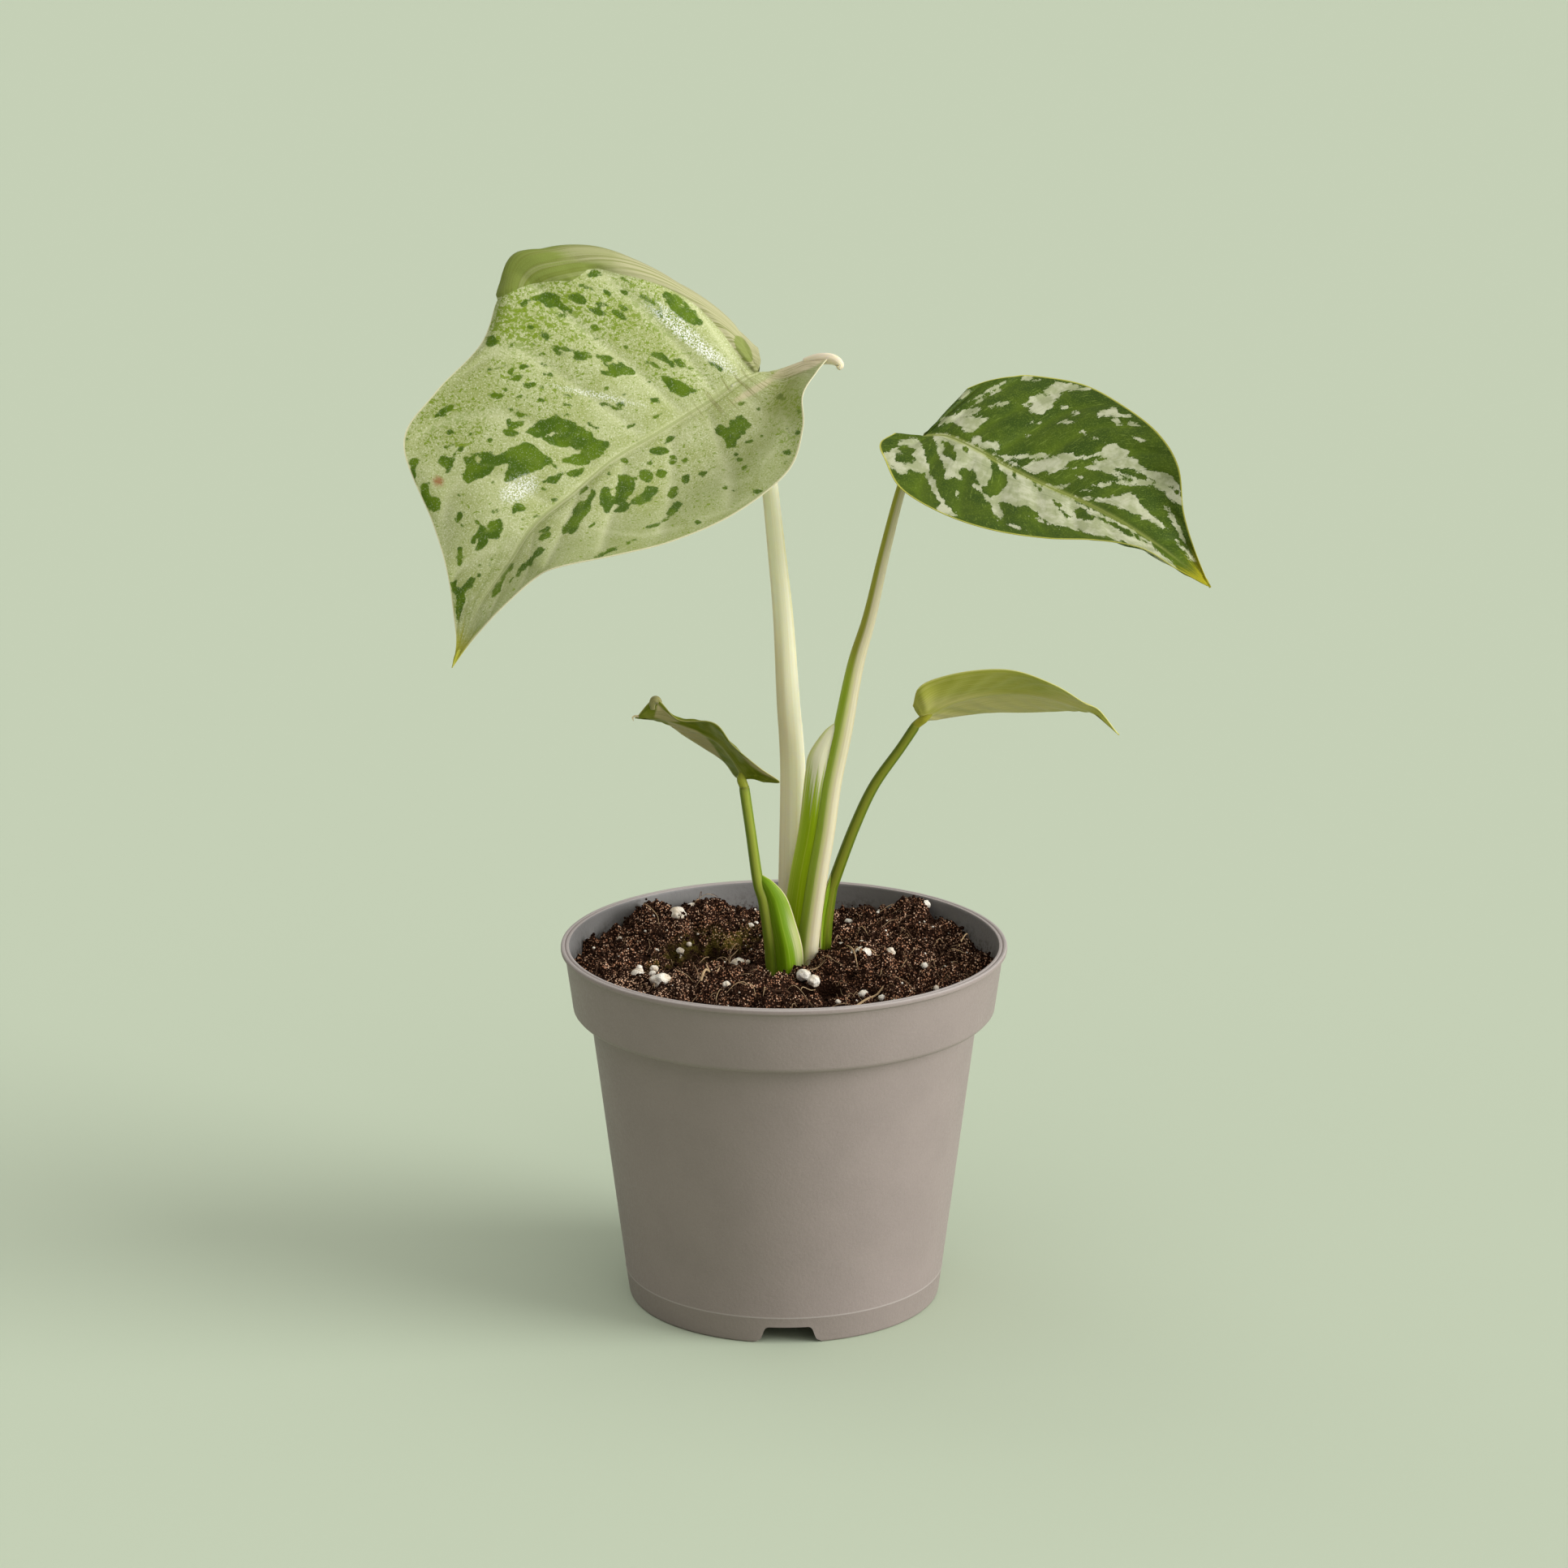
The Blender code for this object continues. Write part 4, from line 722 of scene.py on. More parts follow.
def sheathWing(name, rows, thickness=0.0008, across=28, along=120):
    # u runs from the stem to the free edge, v from the top down
    lines = np.array(rows)

    def place(u, v):
        columns = np.stack([smoothThrough(lines[:, k], v) for k in range(lines.shape[1])])
        return potAxis + smoothThrough(columns, u)

    wing, u, v = layGrid(name, across, along, place)
    thinning = wing.vertex_groups.new(name="body")
    body = 0.25 + 0.75 * soften(1 - u, 0.0, 0.12) * soften(v, 0.0, 0.04)
    for index, share in enumerate(body):
        thinning.add([index], float(share), "REPLACE")
    solid = wing.modifiers.new("thickness", "SOLIDIFY")
    solid.thickness = thickness
    solid.offset = 0.0
    solid.vertex_group = "body"
    applyAll(wing)
    return wing


# Blades: the same stations as the solids: a midrib point, the left half and the right half
largeBlade = {
    "tip": (-0.0846, -0.0412, 0.1845), "across": 150, "along": 250, "thickness": 0.0005, "rib": 0.0017,
    "ribWidth": 0.0009, "rollHeight": 0.0006,
    "stations": [
        [(-0.0070, 0.0060, 0.2525),
         [(-0.0015, 0.0090, 0.2528), (0.0065, 0.0090, 0.2556), (0.0120, 0.0058, 0.2566)],
         [(-0.0065, 0.0100, 0.2545), (-0.0075, 0.0150, 0.2570), (-0.0085, 0.0240, 0.2535)]],
        [(-0.0070, 0.0060, 0.2525),
         [(-0.0010, 0.0070, 0.2505), (0.0050, 0.0040, 0.2530), (0.0085, -0.0010, 0.2535)],
         [(-0.0125, 0.0120, 0.2590), (-0.0155, 0.0200, 0.2645), (-0.0185, 0.0310, 0.2585)]],
        [(-0.0110, 0.0045, 0.2510),
         [(-0.0035, 0.0000, 0.2460), (0.0020, -0.0040, 0.2490), (0.0050, -0.0090, 0.2490)],
         [(-0.0210, 0.0100, 0.2645), (-0.0310, 0.0190, 0.2755), (-0.0360, 0.0310, 0.2670)]],
        [(-0.0180, 0.0010, 0.2465),
         [(-0.0100, -0.0080, 0.2400), (-0.0015, -0.0150, 0.2405), (0.0050, -0.0180, 0.2420)],
         [(-0.0325, 0.0080, 0.2670), (-0.0470, 0.0150, 0.2830), (-0.0515, 0.0270, 0.2755)]],
        [(-0.0255, -0.0025, 0.2425),
         [(-0.0180, -0.0130, 0.2335), (-0.0085, -0.0220, 0.2335), (0.0010, -0.0270, 0.2325)],
         [(-0.0450, 0.0050, 0.2650), (-0.0620, 0.0110, 0.2835), (-0.0665, 0.0200, 0.2765)]],
        [(-0.0340, -0.0070, 0.2380),
         [(-0.0290, -0.0180, 0.2280), (-0.0215, -0.0280, 0.2245), (-0.0125, -0.0340, 0.2230)],
         [(-0.0560, 0.0010, 0.2605), (-0.0705, 0.0080, 0.2795), (-0.0735, 0.0110, 0.2735)]],
        [(-0.0445, -0.0120, 0.2325),
         [(-0.0415, -0.0220, 0.2245), (-0.0365, -0.0330, 0.2190), (-0.0280, -0.0390, 0.2170)],
         [(-0.0625, -0.0040, 0.2510), (-0.0730, 0.0000, 0.2630), (-0.0785, 0.0010, 0.2610)]],
        [(-0.0545, -0.0180, 0.2250),
         [(-0.0530, -0.0270, 0.2200), (-0.0490, -0.0360, 0.2160), (-0.0420, -0.0420, 0.2140)],
         [(-0.0695, -0.0100, 0.2400), (-0.0815, -0.0060, 0.2480), (-0.0905, -0.0050, 0.2490)]],
        [(-0.0640, -0.0240, 0.2180),
         [(-0.0625, -0.0310, 0.2150), (-0.0605, -0.0380, 0.2125), (-0.0570, -0.0430, 0.2110)],
         [(-0.0775, -0.0170, 0.2285), (-0.0895, -0.0120, 0.2340), (-0.0985, -0.0100, 0.2365)]],
        [(-0.0700, -0.0305, 0.2100),
         [(-0.0675, -0.0350, 0.2090), (-0.0655, -0.0390, 0.2085), (-0.0632, -0.0420, 0.2078)],
         [(-0.0765, -0.0275, 0.2130), (-0.0835, -0.0240, 0.2155), (-0.0905, -0.0200, 0.2175)]],
        [(-0.0770, -0.0360, 0.2010),
         [(-0.0753, -0.0385, 0.2005), (-0.0737, -0.0410, 0.2000), (-0.0722, -0.0425, 0.1997)],
         [(-0.0800, -0.0340, 0.2028), (-0.0832, -0.0315, 0.2046), (-0.0864, -0.0290, 0.2066)]],
        [(-0.0804, -0.0388, 0.1940),
         [(-0.0797, -0.0398, 0.1937), (-0.0790, -0.0408, 0.1933), (-0.0783, -0.0416, 0.1929)],
         [(-0.0817, -0.0380, 0.1948), (-0.0830, -0.0371, 0.1954), (-0.0843, -0.0361, 0.1960)]],
        [(-0.0829, -0.0404, 0.1888),
         [(-0.0826, -0.0407, 0.1886), (-0.0823, -0.0410, 0.1885), (-0.0820, -0.0413, 0.1884)],
         [(-0.0831, -0.0402, 0.1893), (-0.0834, -0.0400, 0.1899), (-0.0837, -0.0398, 0.1905)]],
    ],
}
rightBlade = {
    "tip": (0.1100, -0.0240, 0.2015), "across": 140, "along": 210, "thickness": 0.0005, "rib": 0.0013,
    "ribWidth": 0.0007,
    "stations": [
        [(0.0370, 0.0040, 0.2360),
         [(0.0420, 0.0096, 0.2410), (0.0485, 0.0155, 0.2465)],
         [(0.0331, 0.0033, 0.2362), (0.0290, 0.0030, 0.2368)]],
        [(0.0370, 0.0040, 0.2360),
         [(0.0445, 0.0102, 0.2415), (0.0535, 0.0175, 0.2480)],
         [(0.0314, 0.0006, 0.2349), (0.0250, -0.0014, 0.2349)]],
        [(0.0425, 0.0036, 0.2360),
         [(0.0500, 0.0110, 0.2427), (0.0595, 0.0195, 0.2488)],
         [(0.0341, -0.0032, 0.2320), (0.0262, -0.0069, 0.2316)]],
        [(0.0495, 0.0005, 0.2335),
         [(0.0610, 0.0120, 0.2425), (0.0660, 0.0220, 0.2486)],
         [(0.0385, -0.0128, 0.2255), (0.0302, -0.0155, 0.2257)]],
        [(0.0580, -0.0020, 0.2290),
         [(0.0715, 0.0110, 0.2400), (0.0795, 0.0200, 0.2465)],
         [(0.0490, -0.0180, 0.2215), (0.0405, -0.0240, 0.2210)]],
        [(0.0675, -0.0060, 0.2250),
         [(0.0810, 0.0070, 0.2370), (0.0905, 0.0130, 0.2415)],
         [(0.0605, -0.0200, 0.2200), (0.0530, -0.0280, 0.2175)]],
        [(0.0780, -0.0100, 0.2210),
         [(0.0890, 0.0010, 0.2305), (0.0985, 0.0050, 0.2360)],
         [(0.0715, -0.0220, 0.2175), (0.0670, -0.0290, 0.2155)]],
        [(0.0880, -0.0150, 0.2165),
         [(0.0960, -0.0050, 0.2230), (0.1030, -0.0030, 0.2290)],
         [(0.0825, -0.0240, 0.2155), (0.0800, -0.0290, 0.2150)]],
        [(0.0975, -0.0190, 0.2110),
         [(0.1005, -0.0120, 0.2150), (0.1040, -0.0100, 0.2185)],
         [(0.0935, -0.0250, 0.2115), (0.0915, -0.0290, 0.2130)]],
        [(0.1045, -0.0220, 0.2060),
         [(0.1060, -0.0180, 0.2075), (0.1065, -0.0170, 0.2100)],
         [(0.1020, -0.0250, 0.2065), (0.1010, -0.0270, 0.2070)]],
    ],
}
smallRightBlade = {
    "tip": (0.0900, 0.0150, 0.1520), "across": 80, "along": 130, "thickness": 0.0005, "rib": 0.0008,
    "ribWidth": 0.0005,
    "stations": [
        [(0.0365, 0.0100, 0.1585),
         [(0.0370, 0.0120, 0.1570), (0.0378, 0.0145, 0.1562)],
         [(0.0352, 0.0085, 0.1605), (0.0344, 0.0065, 0.1622)]],
        [(0.0380, 0.0100, 0.1590),
         [(0.0405, 0.0140, 0.1575), (0.0435, 0.0180, 0.1560)],
         [(0.0370, 0.0050, 0.1635), (0.0355, 0.0020, 0.1680)]],
        [(0.0430, 0.0100, 0.1620),
         [(0.0455, 0.0150, 0.1590), (0.0490, 0.0190, 0.1565)],
         [(0.0420, 0.0050, 0.1665), (0.0400, 0.0010, 0.1710)]],
        [(0.0510, 0.0100, 0.1645),
         [(0.0530, 0.0150, 0.1600), (0.0560, 0.0200, 0.1570)],
         [(0.0505, 0.0050, 0.1685), (0.0500, 0.0000, 0.1735)]],
        [(0.0600, 0.0100, 0.1655),
         [(0.0620, 0.0150, 0.1610), (0.0650, 0.0200, 0.1570)],
         [(0.0605, 0.0050, 0.1695), (0.0610, 0.0000, 0.1735)]],
        [(0.0690, 0.0100, 0.1645),
         [(0.0705, 0.0150, 0.1605), (0.0725, 0.0190, 0.1575)],
         [(0.0705, 0.0060, 0.1675), (0.0720, 0.0020, 0.1690)]],
        [(0.0780, 0.0110, 0.1615),
         [(0.0790, 0.0140, 0.1595), (0.0800, 0.0160, 0.1585)],
         [(0.0790, 0.0090, 0.1630), (0.0800, 0.0070, 0.1630)]],
        [(0.0835, 0.0125, 0.1590),
         [(0.0838, 0.0134, 0.1583), (0.0841, 0.0140, 0.1578)],
         [(0.0840, 0.0118, 0.1596), (0.0845, 0.0110, 0.1598)]],
    ],
}
smallLeftBlade = {
    "tip": (-0.0395, -0.0010, 0.1608), "across": 80, "along": 120, "thickness": 0.0005, "rib": 0.0008,
    "ribWidth": 0.0006,
    "stations": [
        [(-0.0105, 0.0000, 0.1440),
         [(-0.0080, -0.0006, 0.1443), (-0.0045, -0.0010, 0.1432)],
         [(-0.0115, 0.0020, 0.1445), (-0.0125, 0.0040, 0.1430)]],
        [(-0.0108, 0.0000, 0.1455),
         [(-0.0065, -0.0025, 0.1460), (-0.0012, -0.0020, 0.1436)],
         [(-0.0122, 0.0030, 0.1450), (-0.0136, 0.0055, 0.1435)]],
        [(-0.0130, 0.0000, 0.1495),
         [(-0.0096, -0.0040, 0.1495), (-0.0065, -0.0060, 0.1485)],
         [(-0.0148, 0.0040, 0.1480), (-0.0165, 0.0070, 0.1470)]],
        [(-0.0172, 0.0000, 0.1545),
         [(-0.0150, -0.0045, 0.1560), (-0.0135, -0.0075, 0.1550)],
         [(-0.0196, 0.0045, 0.1522), (-0.0220, 0.0070, 0.1508)]],
        [(-0.0230, 0.0000, 0.1575),
         [(-0.0208, -0.0045, 0.1605), (-0.0185, -0.0070, 0.1610)],
         [(-0.0252, 0.0035, 0.1555), (-0.0270, 0.0055, 0.1545)]],
        [(-0.0285, -0.0005, 0.1598),
         [(-0.0280, -0.0030, 0.1615), (-0.0280, -0.0045, 0.1612)],
         [(-0.0300, 0.0020, 0.1585), (-0.0310, 0.0035, 0.1580)]],
        [(-0.0332, -0.0010, 0.1612),
         [(-0.0334, -0.0025, 0.1635), (-0.0340, -0.0030, 0.1665)],
         [(-0.0342, 0.0005, 0.1602), (-0.0350, 0.0015, 0.1598)]],
    ],
}


def bladePoints(blade, along, across):
    # across runs from 1, the left edge, through 0, the midrib, to -1, the right edge
    stations, tip = blade["stations"], [blade["tip"]]
    midrib = [station[0] for station in stations]
    shared = sum(1 for point in midrib[1:] if point == midrib[0])
    spans = len(stations)
    start = np.maximum(along * spans - shared, 0.0) / (spans - shared)
    middle = smoothThrough(midrib[shared:] + tip, start)
    halves = []
    for side in (1, 2):
        lines = [smoothThrough([station[side][k] for station in stations] + tip, along)
                 for k in range(len(stations[0][side]))]
        halves.append(np.stack([middle] + lines))
    columns = np.where((across >= 0)[None, :, None], halves[0], halves[1])
    return smoothThrough(columns, np.abs(across)), middle


veins = {"spacing": 0.088, "slant": 0.13, "sink": 0.00022, "puff": 0.00030, "midribSink": 0.00025, "width": 0.0011,
         "midribWidth": 0.0014}


def makeBlade(name, blade, relief=1.0):
    def place(u, v):
        return bladePoints(blade, v, 1 - 2 * u)[0] + potAxis

    leaf, u, v = layGrid(name, blade["across"], blade["along"], place)
    across = 1 - 2 * u
    points, middle = bladePoints(blade, v, across)
    fromMidrib = np.linalg.norm(points - middle, axis=1)
    edge = np.where(across >= 0, 1.0, -1.0)
    margin, _ = bladePoints(blade, v, edge)
    fromEdge = np.linalg.norm(points - margin, axis=1)
    length = np.linalg.norm(np.array(blade["stations"][0][0]) - np.array(blade["tip"])) * 1.1
    # Side veins leave the midrib and lean towards the tip; each is a line of one start
    start = v - veins["slant"] * np.abs(across) ** 1.2 * soften(v, 0.10, 0.35)
    phase = start / veins["spacing"] + np.where(across > 0, 0.0, 0.45)
    offVein = np.abs(phase - np.round(phase)) * veins["spacing"] * length
    reach = soften(fromMidrib, 0.0, 0.004) * soften(1 - np.abs(across), 0.0, 0.25) * soften(1 - v, 0.0, 0.2)
    vein = np.exp(-(offVein / veins["width"]) ** 2) * reach
    rib = np.exp(-(fromMidrib / veins["midribWidth"]) ** 2) * soften(1 - v, 0.0, 0.15)
    puff = np.cos(phase * math.tau) * -0.5 * reach
    normals = getNormals(leaf.data)
    lift = relief * (veins["puff"] * puff - veins["sink"] * vein - veins["midribSink"] * rib)
    if "roll" in blade:
        # The rolled edge lies on the upper face and ends in a step, with a groove before it
        step = insidePatch(*seenAt(points + potAxis), blade["roll"])
        lift += blade["rollHeight"] * (soften(step, -0.8, 2.0) * (1 - 0.85 * soften(step, 4.0, 24.0))
                                       - 0.4 * np.exp(-((step + 3.0) / 2.5) ** 2))
    lift = lift + blade["thickness"] / 2
    setPoints(leaf.data, getPoints(leaf.data) + normals * lift[:, None])
    writeField(leaf.data, "vein", vein)
    writeField(leaf.data, "start", start)
    writeField(leaf.data, "rib", np.exp(-(fromMidrib / blade["ribWidth"]) ** 2) * soften(1 - v, 0.02, 0.4))
    writeField(leaf.data, "fromMidrib", fromMidrib * 1000)
    writeField(leaf.data, "fromEdge", fromEdge * 1000)
    # Thick under the midrib, thin at the margin
    full = blade["rib"] * (1 - v) ** 0.8 * np.exp(-(fromMidrib / 0.0011) ** 2) * soften(v, 0.0, 0.10)
    body = blade["thickness"] * (0.35 + 0.65 * soften(fromEdge, 0.0, 0.0012)) + full
    most = blade["thickness"] + blade["rib"]
    group = leaf.vertex_groups.new(name="body")
    for index, share in enumerate(body / most):
        group.add([index], float(share), "REPLACE")
    solid = leaf.modifiers.new("thickness", "SOLIDIFY")
    solid.thickness = most
    solid.offset = -1.0
    solid.vertex_group = "body"
    applyAll(leaf)
    mergeDoubles(leaf, 0.00001)
    return leaf


def upwardAt(blade, along):
    # The way up out of the upper face at the midrib, and the points there
    t = np.array([along])
    near = np.array([0.12])
    left, middle = bladePoints(blade, t, near)
    right, _ = bladePoints(blade, t, -near)
    ahead = bladePoints(blade, t + 0.01, near * 0)[1][0]
    forward = ahead - middle[0]
    upward = np.cross(forward, (left - right)[0])
    return middle[0], upward / np.linalg.norm(upward)


print("shapes ready")


# Leaf marks in pixels of the photograph, read one by one: corners as x, y after x, y; ovals as x, y, width, height,
# turn
largeMarks = {
    "patches": [[649, 532, 653, 527, 661, 523, 668, 517, 676, 514, 684, 512, 693, 515, 704, 520, 714, 525, 724, 530,
                731, 533, 731, 541, 738, 542, 747, 544, 753, 548, 748, 555, 742, 561, 733, 567, 724, 572, 713, 575,
                701, 572, 690, 570, 688, 568, 695, 565, 702, 562, 712, 559, 716, 556, 708, 554, 704, 550, 700, 549,
                691, 551, 680, 548, 670, 543, 669, 540, 676, 538, 683, 537, 690, 535, 688, 531, 680, 532, 672, 536,
                660, 540, 652, 537], [570, 564, 574, 561, 580, 563, 585, 561, 579, 559, 590, 557, 605, 556, 612, 556,
                606, 560, 615, 560, 622, 556, 628, 551, 639, 548, 647, 546, 655, 548, 660, 551, 666, 556, 673, 560,
                671, 564, 678, 563, 683, 568, 677, 570, 672, 575, 664, 580, 655, 583, 645, 587, 635, 591, 625, 595,
                620, 592, 624, 586, 625, 578, 628, 571, 620, 572, 610, 575, 607, 580, 603, 585, 594, 588, 583, 592,
                577, 595, 570, 592, 569, 584, 573, 578, 574, 572, 571, 567], [623, 517, 629, 516, 630, 521, 637, 520,
                645, 520, 643, 525, 633, 529, 639, 533, 636, 537, 629, 539, 622, 536, 621, 530, 625, 527], [535, 515,
                540, 512, 546, 514, 553, 509, 560, 503, 563, 499, 556, 498, 548, 500, 543, 505], [563, 524, 566, 519,
                571, 518, 569, 523], [550, 534, 551, 530, 556, 530, 557, 535], [578, 536, 584, 532, 590, 528, 597,
                525, 591, 531, 584, 535], [544, 551, 549, 548, 556, 547, 563, 545, 557, 551, 550, 553], [563, 555,
                566, 550, 572, 548, 571, 553, 569, 557], [538, 569, 541, 564, 548, 562, 558, 561, 560, 557, 562, 562,
                561, 569, 558, 577, 554, 582, 549, 585, 550, 579, 546, 575, 541, 573], [503, 570, 507, 565, 514, 564,
                516, 567, 514, 574, 512, 583, 510, 590, 513, 597, 510, 600, 507, 591, 505, 580], [516, 600, 519, 596,
                527, 595, 531, 594, 528, 600, 529, 609, 534, 612, 541, 613, 544, 620, 543, 628, 535, 630, 527, 627,
                522, 619, 520, 611, 518, 605], [557, 643, 560, 637, 564, 631, 569, 629, 573, 631, 571, 636, 567, 642,
                562, 643], [579, 665, 584, 660, 588, 653, 592, 649, 598, 650, 601, 652, 602, 644, 608, 641, 615, 640,
                620, 643, 619, 651, 617, 659, 614, 665, 606, 664, 600, 661, 601, 666, 598, 671, 594, 677, 588, 681,
                586, 678, 590, 668, 588, 664, 584, 670, 580, 670], [563, 676, 566, 673, 571, 676, 570, 682, 572, 688,
                568, 694, 566, 697, 564, 691, 561, 687, 563, 681], [555, 718, 559, 716, 563, 714, 562, 722, 567, 725,
                572, 721, 577, 714, 580, 711, 586, 712, 583, 719, 582, 723, 576, 728, 573, 735, 571, 745, 569, 755,
                567, 763, 565, 768, 562, 760, 563, 748, 564, 738, 561, 731, 557, 728], [607, 735, 608, 728, 612, 720,
                617, 711, 621, 702, 627, 694, 634, 693, 631, 699, 627, 705, 623, 712, 619, 721, 613, 731, 609, 736],
                [628, 717, 630, 711, 635, 706, 641, 699, 648, 694, 652, 688, 657, 681, 660, 676, 667, 675, 672, 677,
                668, 682, 661, 687, 656, 694, 648, 702, 640, 709, 633, 714], [691, 657, 693, 650, 698, 645, 701, 640,
                705, 633, 708, 626, 712, 620, 720, 617, 726, 609, 729, 604, 734, 604, 735, 608, 731, 613, 729, 621,
                726, 631, 721, 638, 715, 645, 711, 652, 704, 657, 697, 657], [714, 609, 717, 603, 722, 599, 723, 601,
                719, 607, 715, 610], [663, 656, 668, 652, 675, 648, 678, 650, 675, 655, 668, 656], [664, 666, 666,
                660, 672, 658, 679, 656, 677, 661, 670, 665], [631, 627, 634, 621, 639, 620, 643, 622, 648, 626, 643,
                630, 636, 632, 634, 636, 631, 633], [669, 595, 674, 589, 684, 585, 695, 582, 703, 580, 712, 578, 721,
                577, 717, 582, 711, 587, 703, 588, 695, 586, 691, 590, 684, 596, 677, 596], [724, 651, 728, 646, 733,
                642, 736, 641, 733, 646, 728, 650], [733, 687, 739, 682, 749, 677, 757, 674, 763, 674, 756, 679, 747,
                684, 739, 688], [739, 602, 744, 600, 750, 601, 752, 607, 757, 610, 758, 605, 756, 601, 761, 596, 763,
                586, 770, 585, 778, 588, 781, 593, 784, 597, 781, 604, 779, 609, 774, 612, 769, 619, 777, 620, 774,
                627, 768, 632, 759, 632, 756, 629, 761, 623, 757, 620, 754, 627, 749, 633, 744, 631, 741, 622, 740,
                612], [776, 617, 780, 613, 788, 612, 792, 606, 794, 600, 800, 599, 806, 597, 811, 600, 811, 606, 805,
                611, 801, 618, 795, 622, 787, 622, 778, 620], [806, 586, 809, 581, 811, 577, 817, 580, 822, 582, 819,
                586, 813, 589], [840, 593, 840, 588, 845, 585, 850, 584, 850, 589, 848, 595, 846, 599, 842, 597],
                [823, 606, 827, 602, 833, 599, 837, 602, 834, 606, 833, 611, 828, 614, 823, 612], [796, 650, 800, 648,
                807, 645, 814, 642, 820, 639, 822, 632, 826, 626, 830, 619, 835, 617, 840, 621, 837, 627, 833, 632,
                829, 636, 823, 641, 815, 645, 808, 649, 799, 653], [883, 534, 880, 528, 885, 523, 889, 523, 896, 526,
                897, 518, 902, 516, 907, 519, 909, 513, 913, 510, 916, 515, 920, 518, 925, 523, 921, 530, 919, 535,
                912, 538, 909, 544, 906, 550, 900, 554, 895, 551, 892, 544, 889, 538], [799, 555, 803, 551, 810, 551,
                815, 549, 819, 551, 824, 556, 821, 560, 813, 560, 805, 559], [816, 549, 819, 542, 825, 537, 832, 538,
                829, 543, 822, 547], [657, 365, 664, 362, 673, 360, 683, 361, 692, 366, 691, 371, 698, 376, 706, 381,
                703, 384, 694, 382, 686, 379, 677, 378, 669, 375, 663, 370, 655, 370, 650, 374, 643, 377, 640, 374,
                647, 370], [820, 360, 828, 361, 837, 366, 845, 373, 853, 381, 861, 390, 867, 398, 863, 402, 855, 401,
                846, 399, 840, 393, 832, 387, 827, 380, 820, 374, 822, 368, 815, 363], [596, 428, 599, 421, 602, 416,
                607, 413, 612, 417, 616, 421, 611, 426, 604, 429], [735, 437, 742, 436, 750, 438, 758, 441, 765, 444,
                758, 445, 751, 446, 742, 445, 737, 442], [745, 450, 754, 449, 763, 447, 772, 449, 779, 454, 781, 460,
                777, 463, 769, 462, 762, 464, 750, 463, 741, 461, 734, 457, 744, 457, 750, 457, 748, 453], [799, 436,
                808, 432, 815, 434, 820, 438, 826, 443, 830, 448, 831, 455, 824, 450, 817, 446, 810, 443, 803, 440],
                [813, 464, 816, 461, 825, 465, 835, 469, 845, 474, 856, 478, 865, 480, 857, 484, 848, 487, 839, 488,
                830, 484, 823, 478, 818, 471], [872, 445, 880, 447, 887, 450, 892, 455, 889, 458, 882, 455, 876, 450],
                [700, 366, 708, 361, 716, 363, 724, 370, 722, 377, 714, 375, 706, 373]],
    "ovals": [(500, 553, 6, 5, 0), (501, 542, 7, 3, 0), (604, 542, 7, 6, 0), (570, 647, 5, 4, 0), (607, 595, 4, 4, 0),
              (609, 629, 7, 3, 0), (587, 643, 8, 6, 0), (684, 573, 8, 5, 0), (669, 602, 11, 5, -15), (683, 616, 7, 4,
              0), (662, 636, 7, 4, 0), (648, 639, 6, 3, 0), (797, 587, 18, 17, 0), (866, 584, 9, 8, 0), (801, 570, 8,
              7, 0), (830, 563, 8, 6, 0), (829, 570, 9, 5, 0), (844, 567, 6, 4, 0), (962, 490, 13, 9, 20), (985, 507,
              6, 7, 0), (983, 533, 7, 6, 0), (971, 530, 7, 6, 30), (969, 558, 9, 5, 0), (968, 570, 6, 5, 0), (950,
              577, 6, 5, 0), (911, 567, 8, 6, 0), (918, 577, 10, 6, 20), (939, 537, 6, 5, 0), (924, 544, 6, 5, 0),
              (932, 606, 8, 4, 0), (893, 601, 6, 5, 0), (907, 560, 7, 4, 0), (905, 605, 5, 4, 0), (859, 643, 5, 4, 0),
              (934, 504, 5, 4, 0), (870, 496, 10, 4, -15), (914, 497, 10, 4, -20), (810, 512, 14, 4, -25), (786, 545,
              13, 4, -35), (716, 439, 19, 12, 5), (733, 338, 17, 8, 5), (809, 493, 13, 7, 5), (616, 453, 19, 4, -12),
              (646, 451, 13, 6, 5), (671, 436, 11, 4, -5), (669, 449, 13, 5, 10), (630, 457, 9, 6, -30), (638, 466,
              21, 6, -10), (653, 475, 21, 7, 8), (622, 481, 7, 4, 0), (612, 487, 15, 5, -5), (643, 489, 9, 4, 0),
              (666, 492, 8, 4, 0), (678, 462, 9, 3, 10), (700, 488, 9, 4, 10), (728, 499, 8, 3, 0), (750, 479, 7, 3,
              0), (771, 486, 8, 4, 10), (746, 498, 15, 4, 5), (765, 498, 11, 5, 10), (768, 505, 9, 4, 0), (757, 503,
              8, 3, 0), (693, 498, 13, 4, 15), (696, 510, 11, 3, 0), (643, 511, 13, 4, 5), (631, 505, 10, 3, 0), (735,
              417, 8, 4, 0), (742, 375, 12, 6, 0), (736, 384, 18, 6, 20), (770, 380, 16, 7, 25), (764, 389, 18, 7,
              30), (770, 361, 12, 7, 20), (725, 354, 16, 5, 10), (747, 360, 15, 5, 45), (775, 348, 14, 4, 25), (695,
              430, 22, 6, 8), (690, 436, 12, 4, 15), (772, 428, 9, 5, 30), (660, 423, 7, 5, 0), (654, 403, 9, 5, 0),
              (627, 425, 14, 4, -15), (838, 448, 16, 9, 30), (803, 448, 16, 6, 20), (811, 453, 14, 4, 35), (690, 388,
              18, 7, 10), (802, 372, 22, 7, 35), (808, 383, 22, 6, 40), (735, 404, 15, 10, 20), (672, 414, 15, 8, 40),
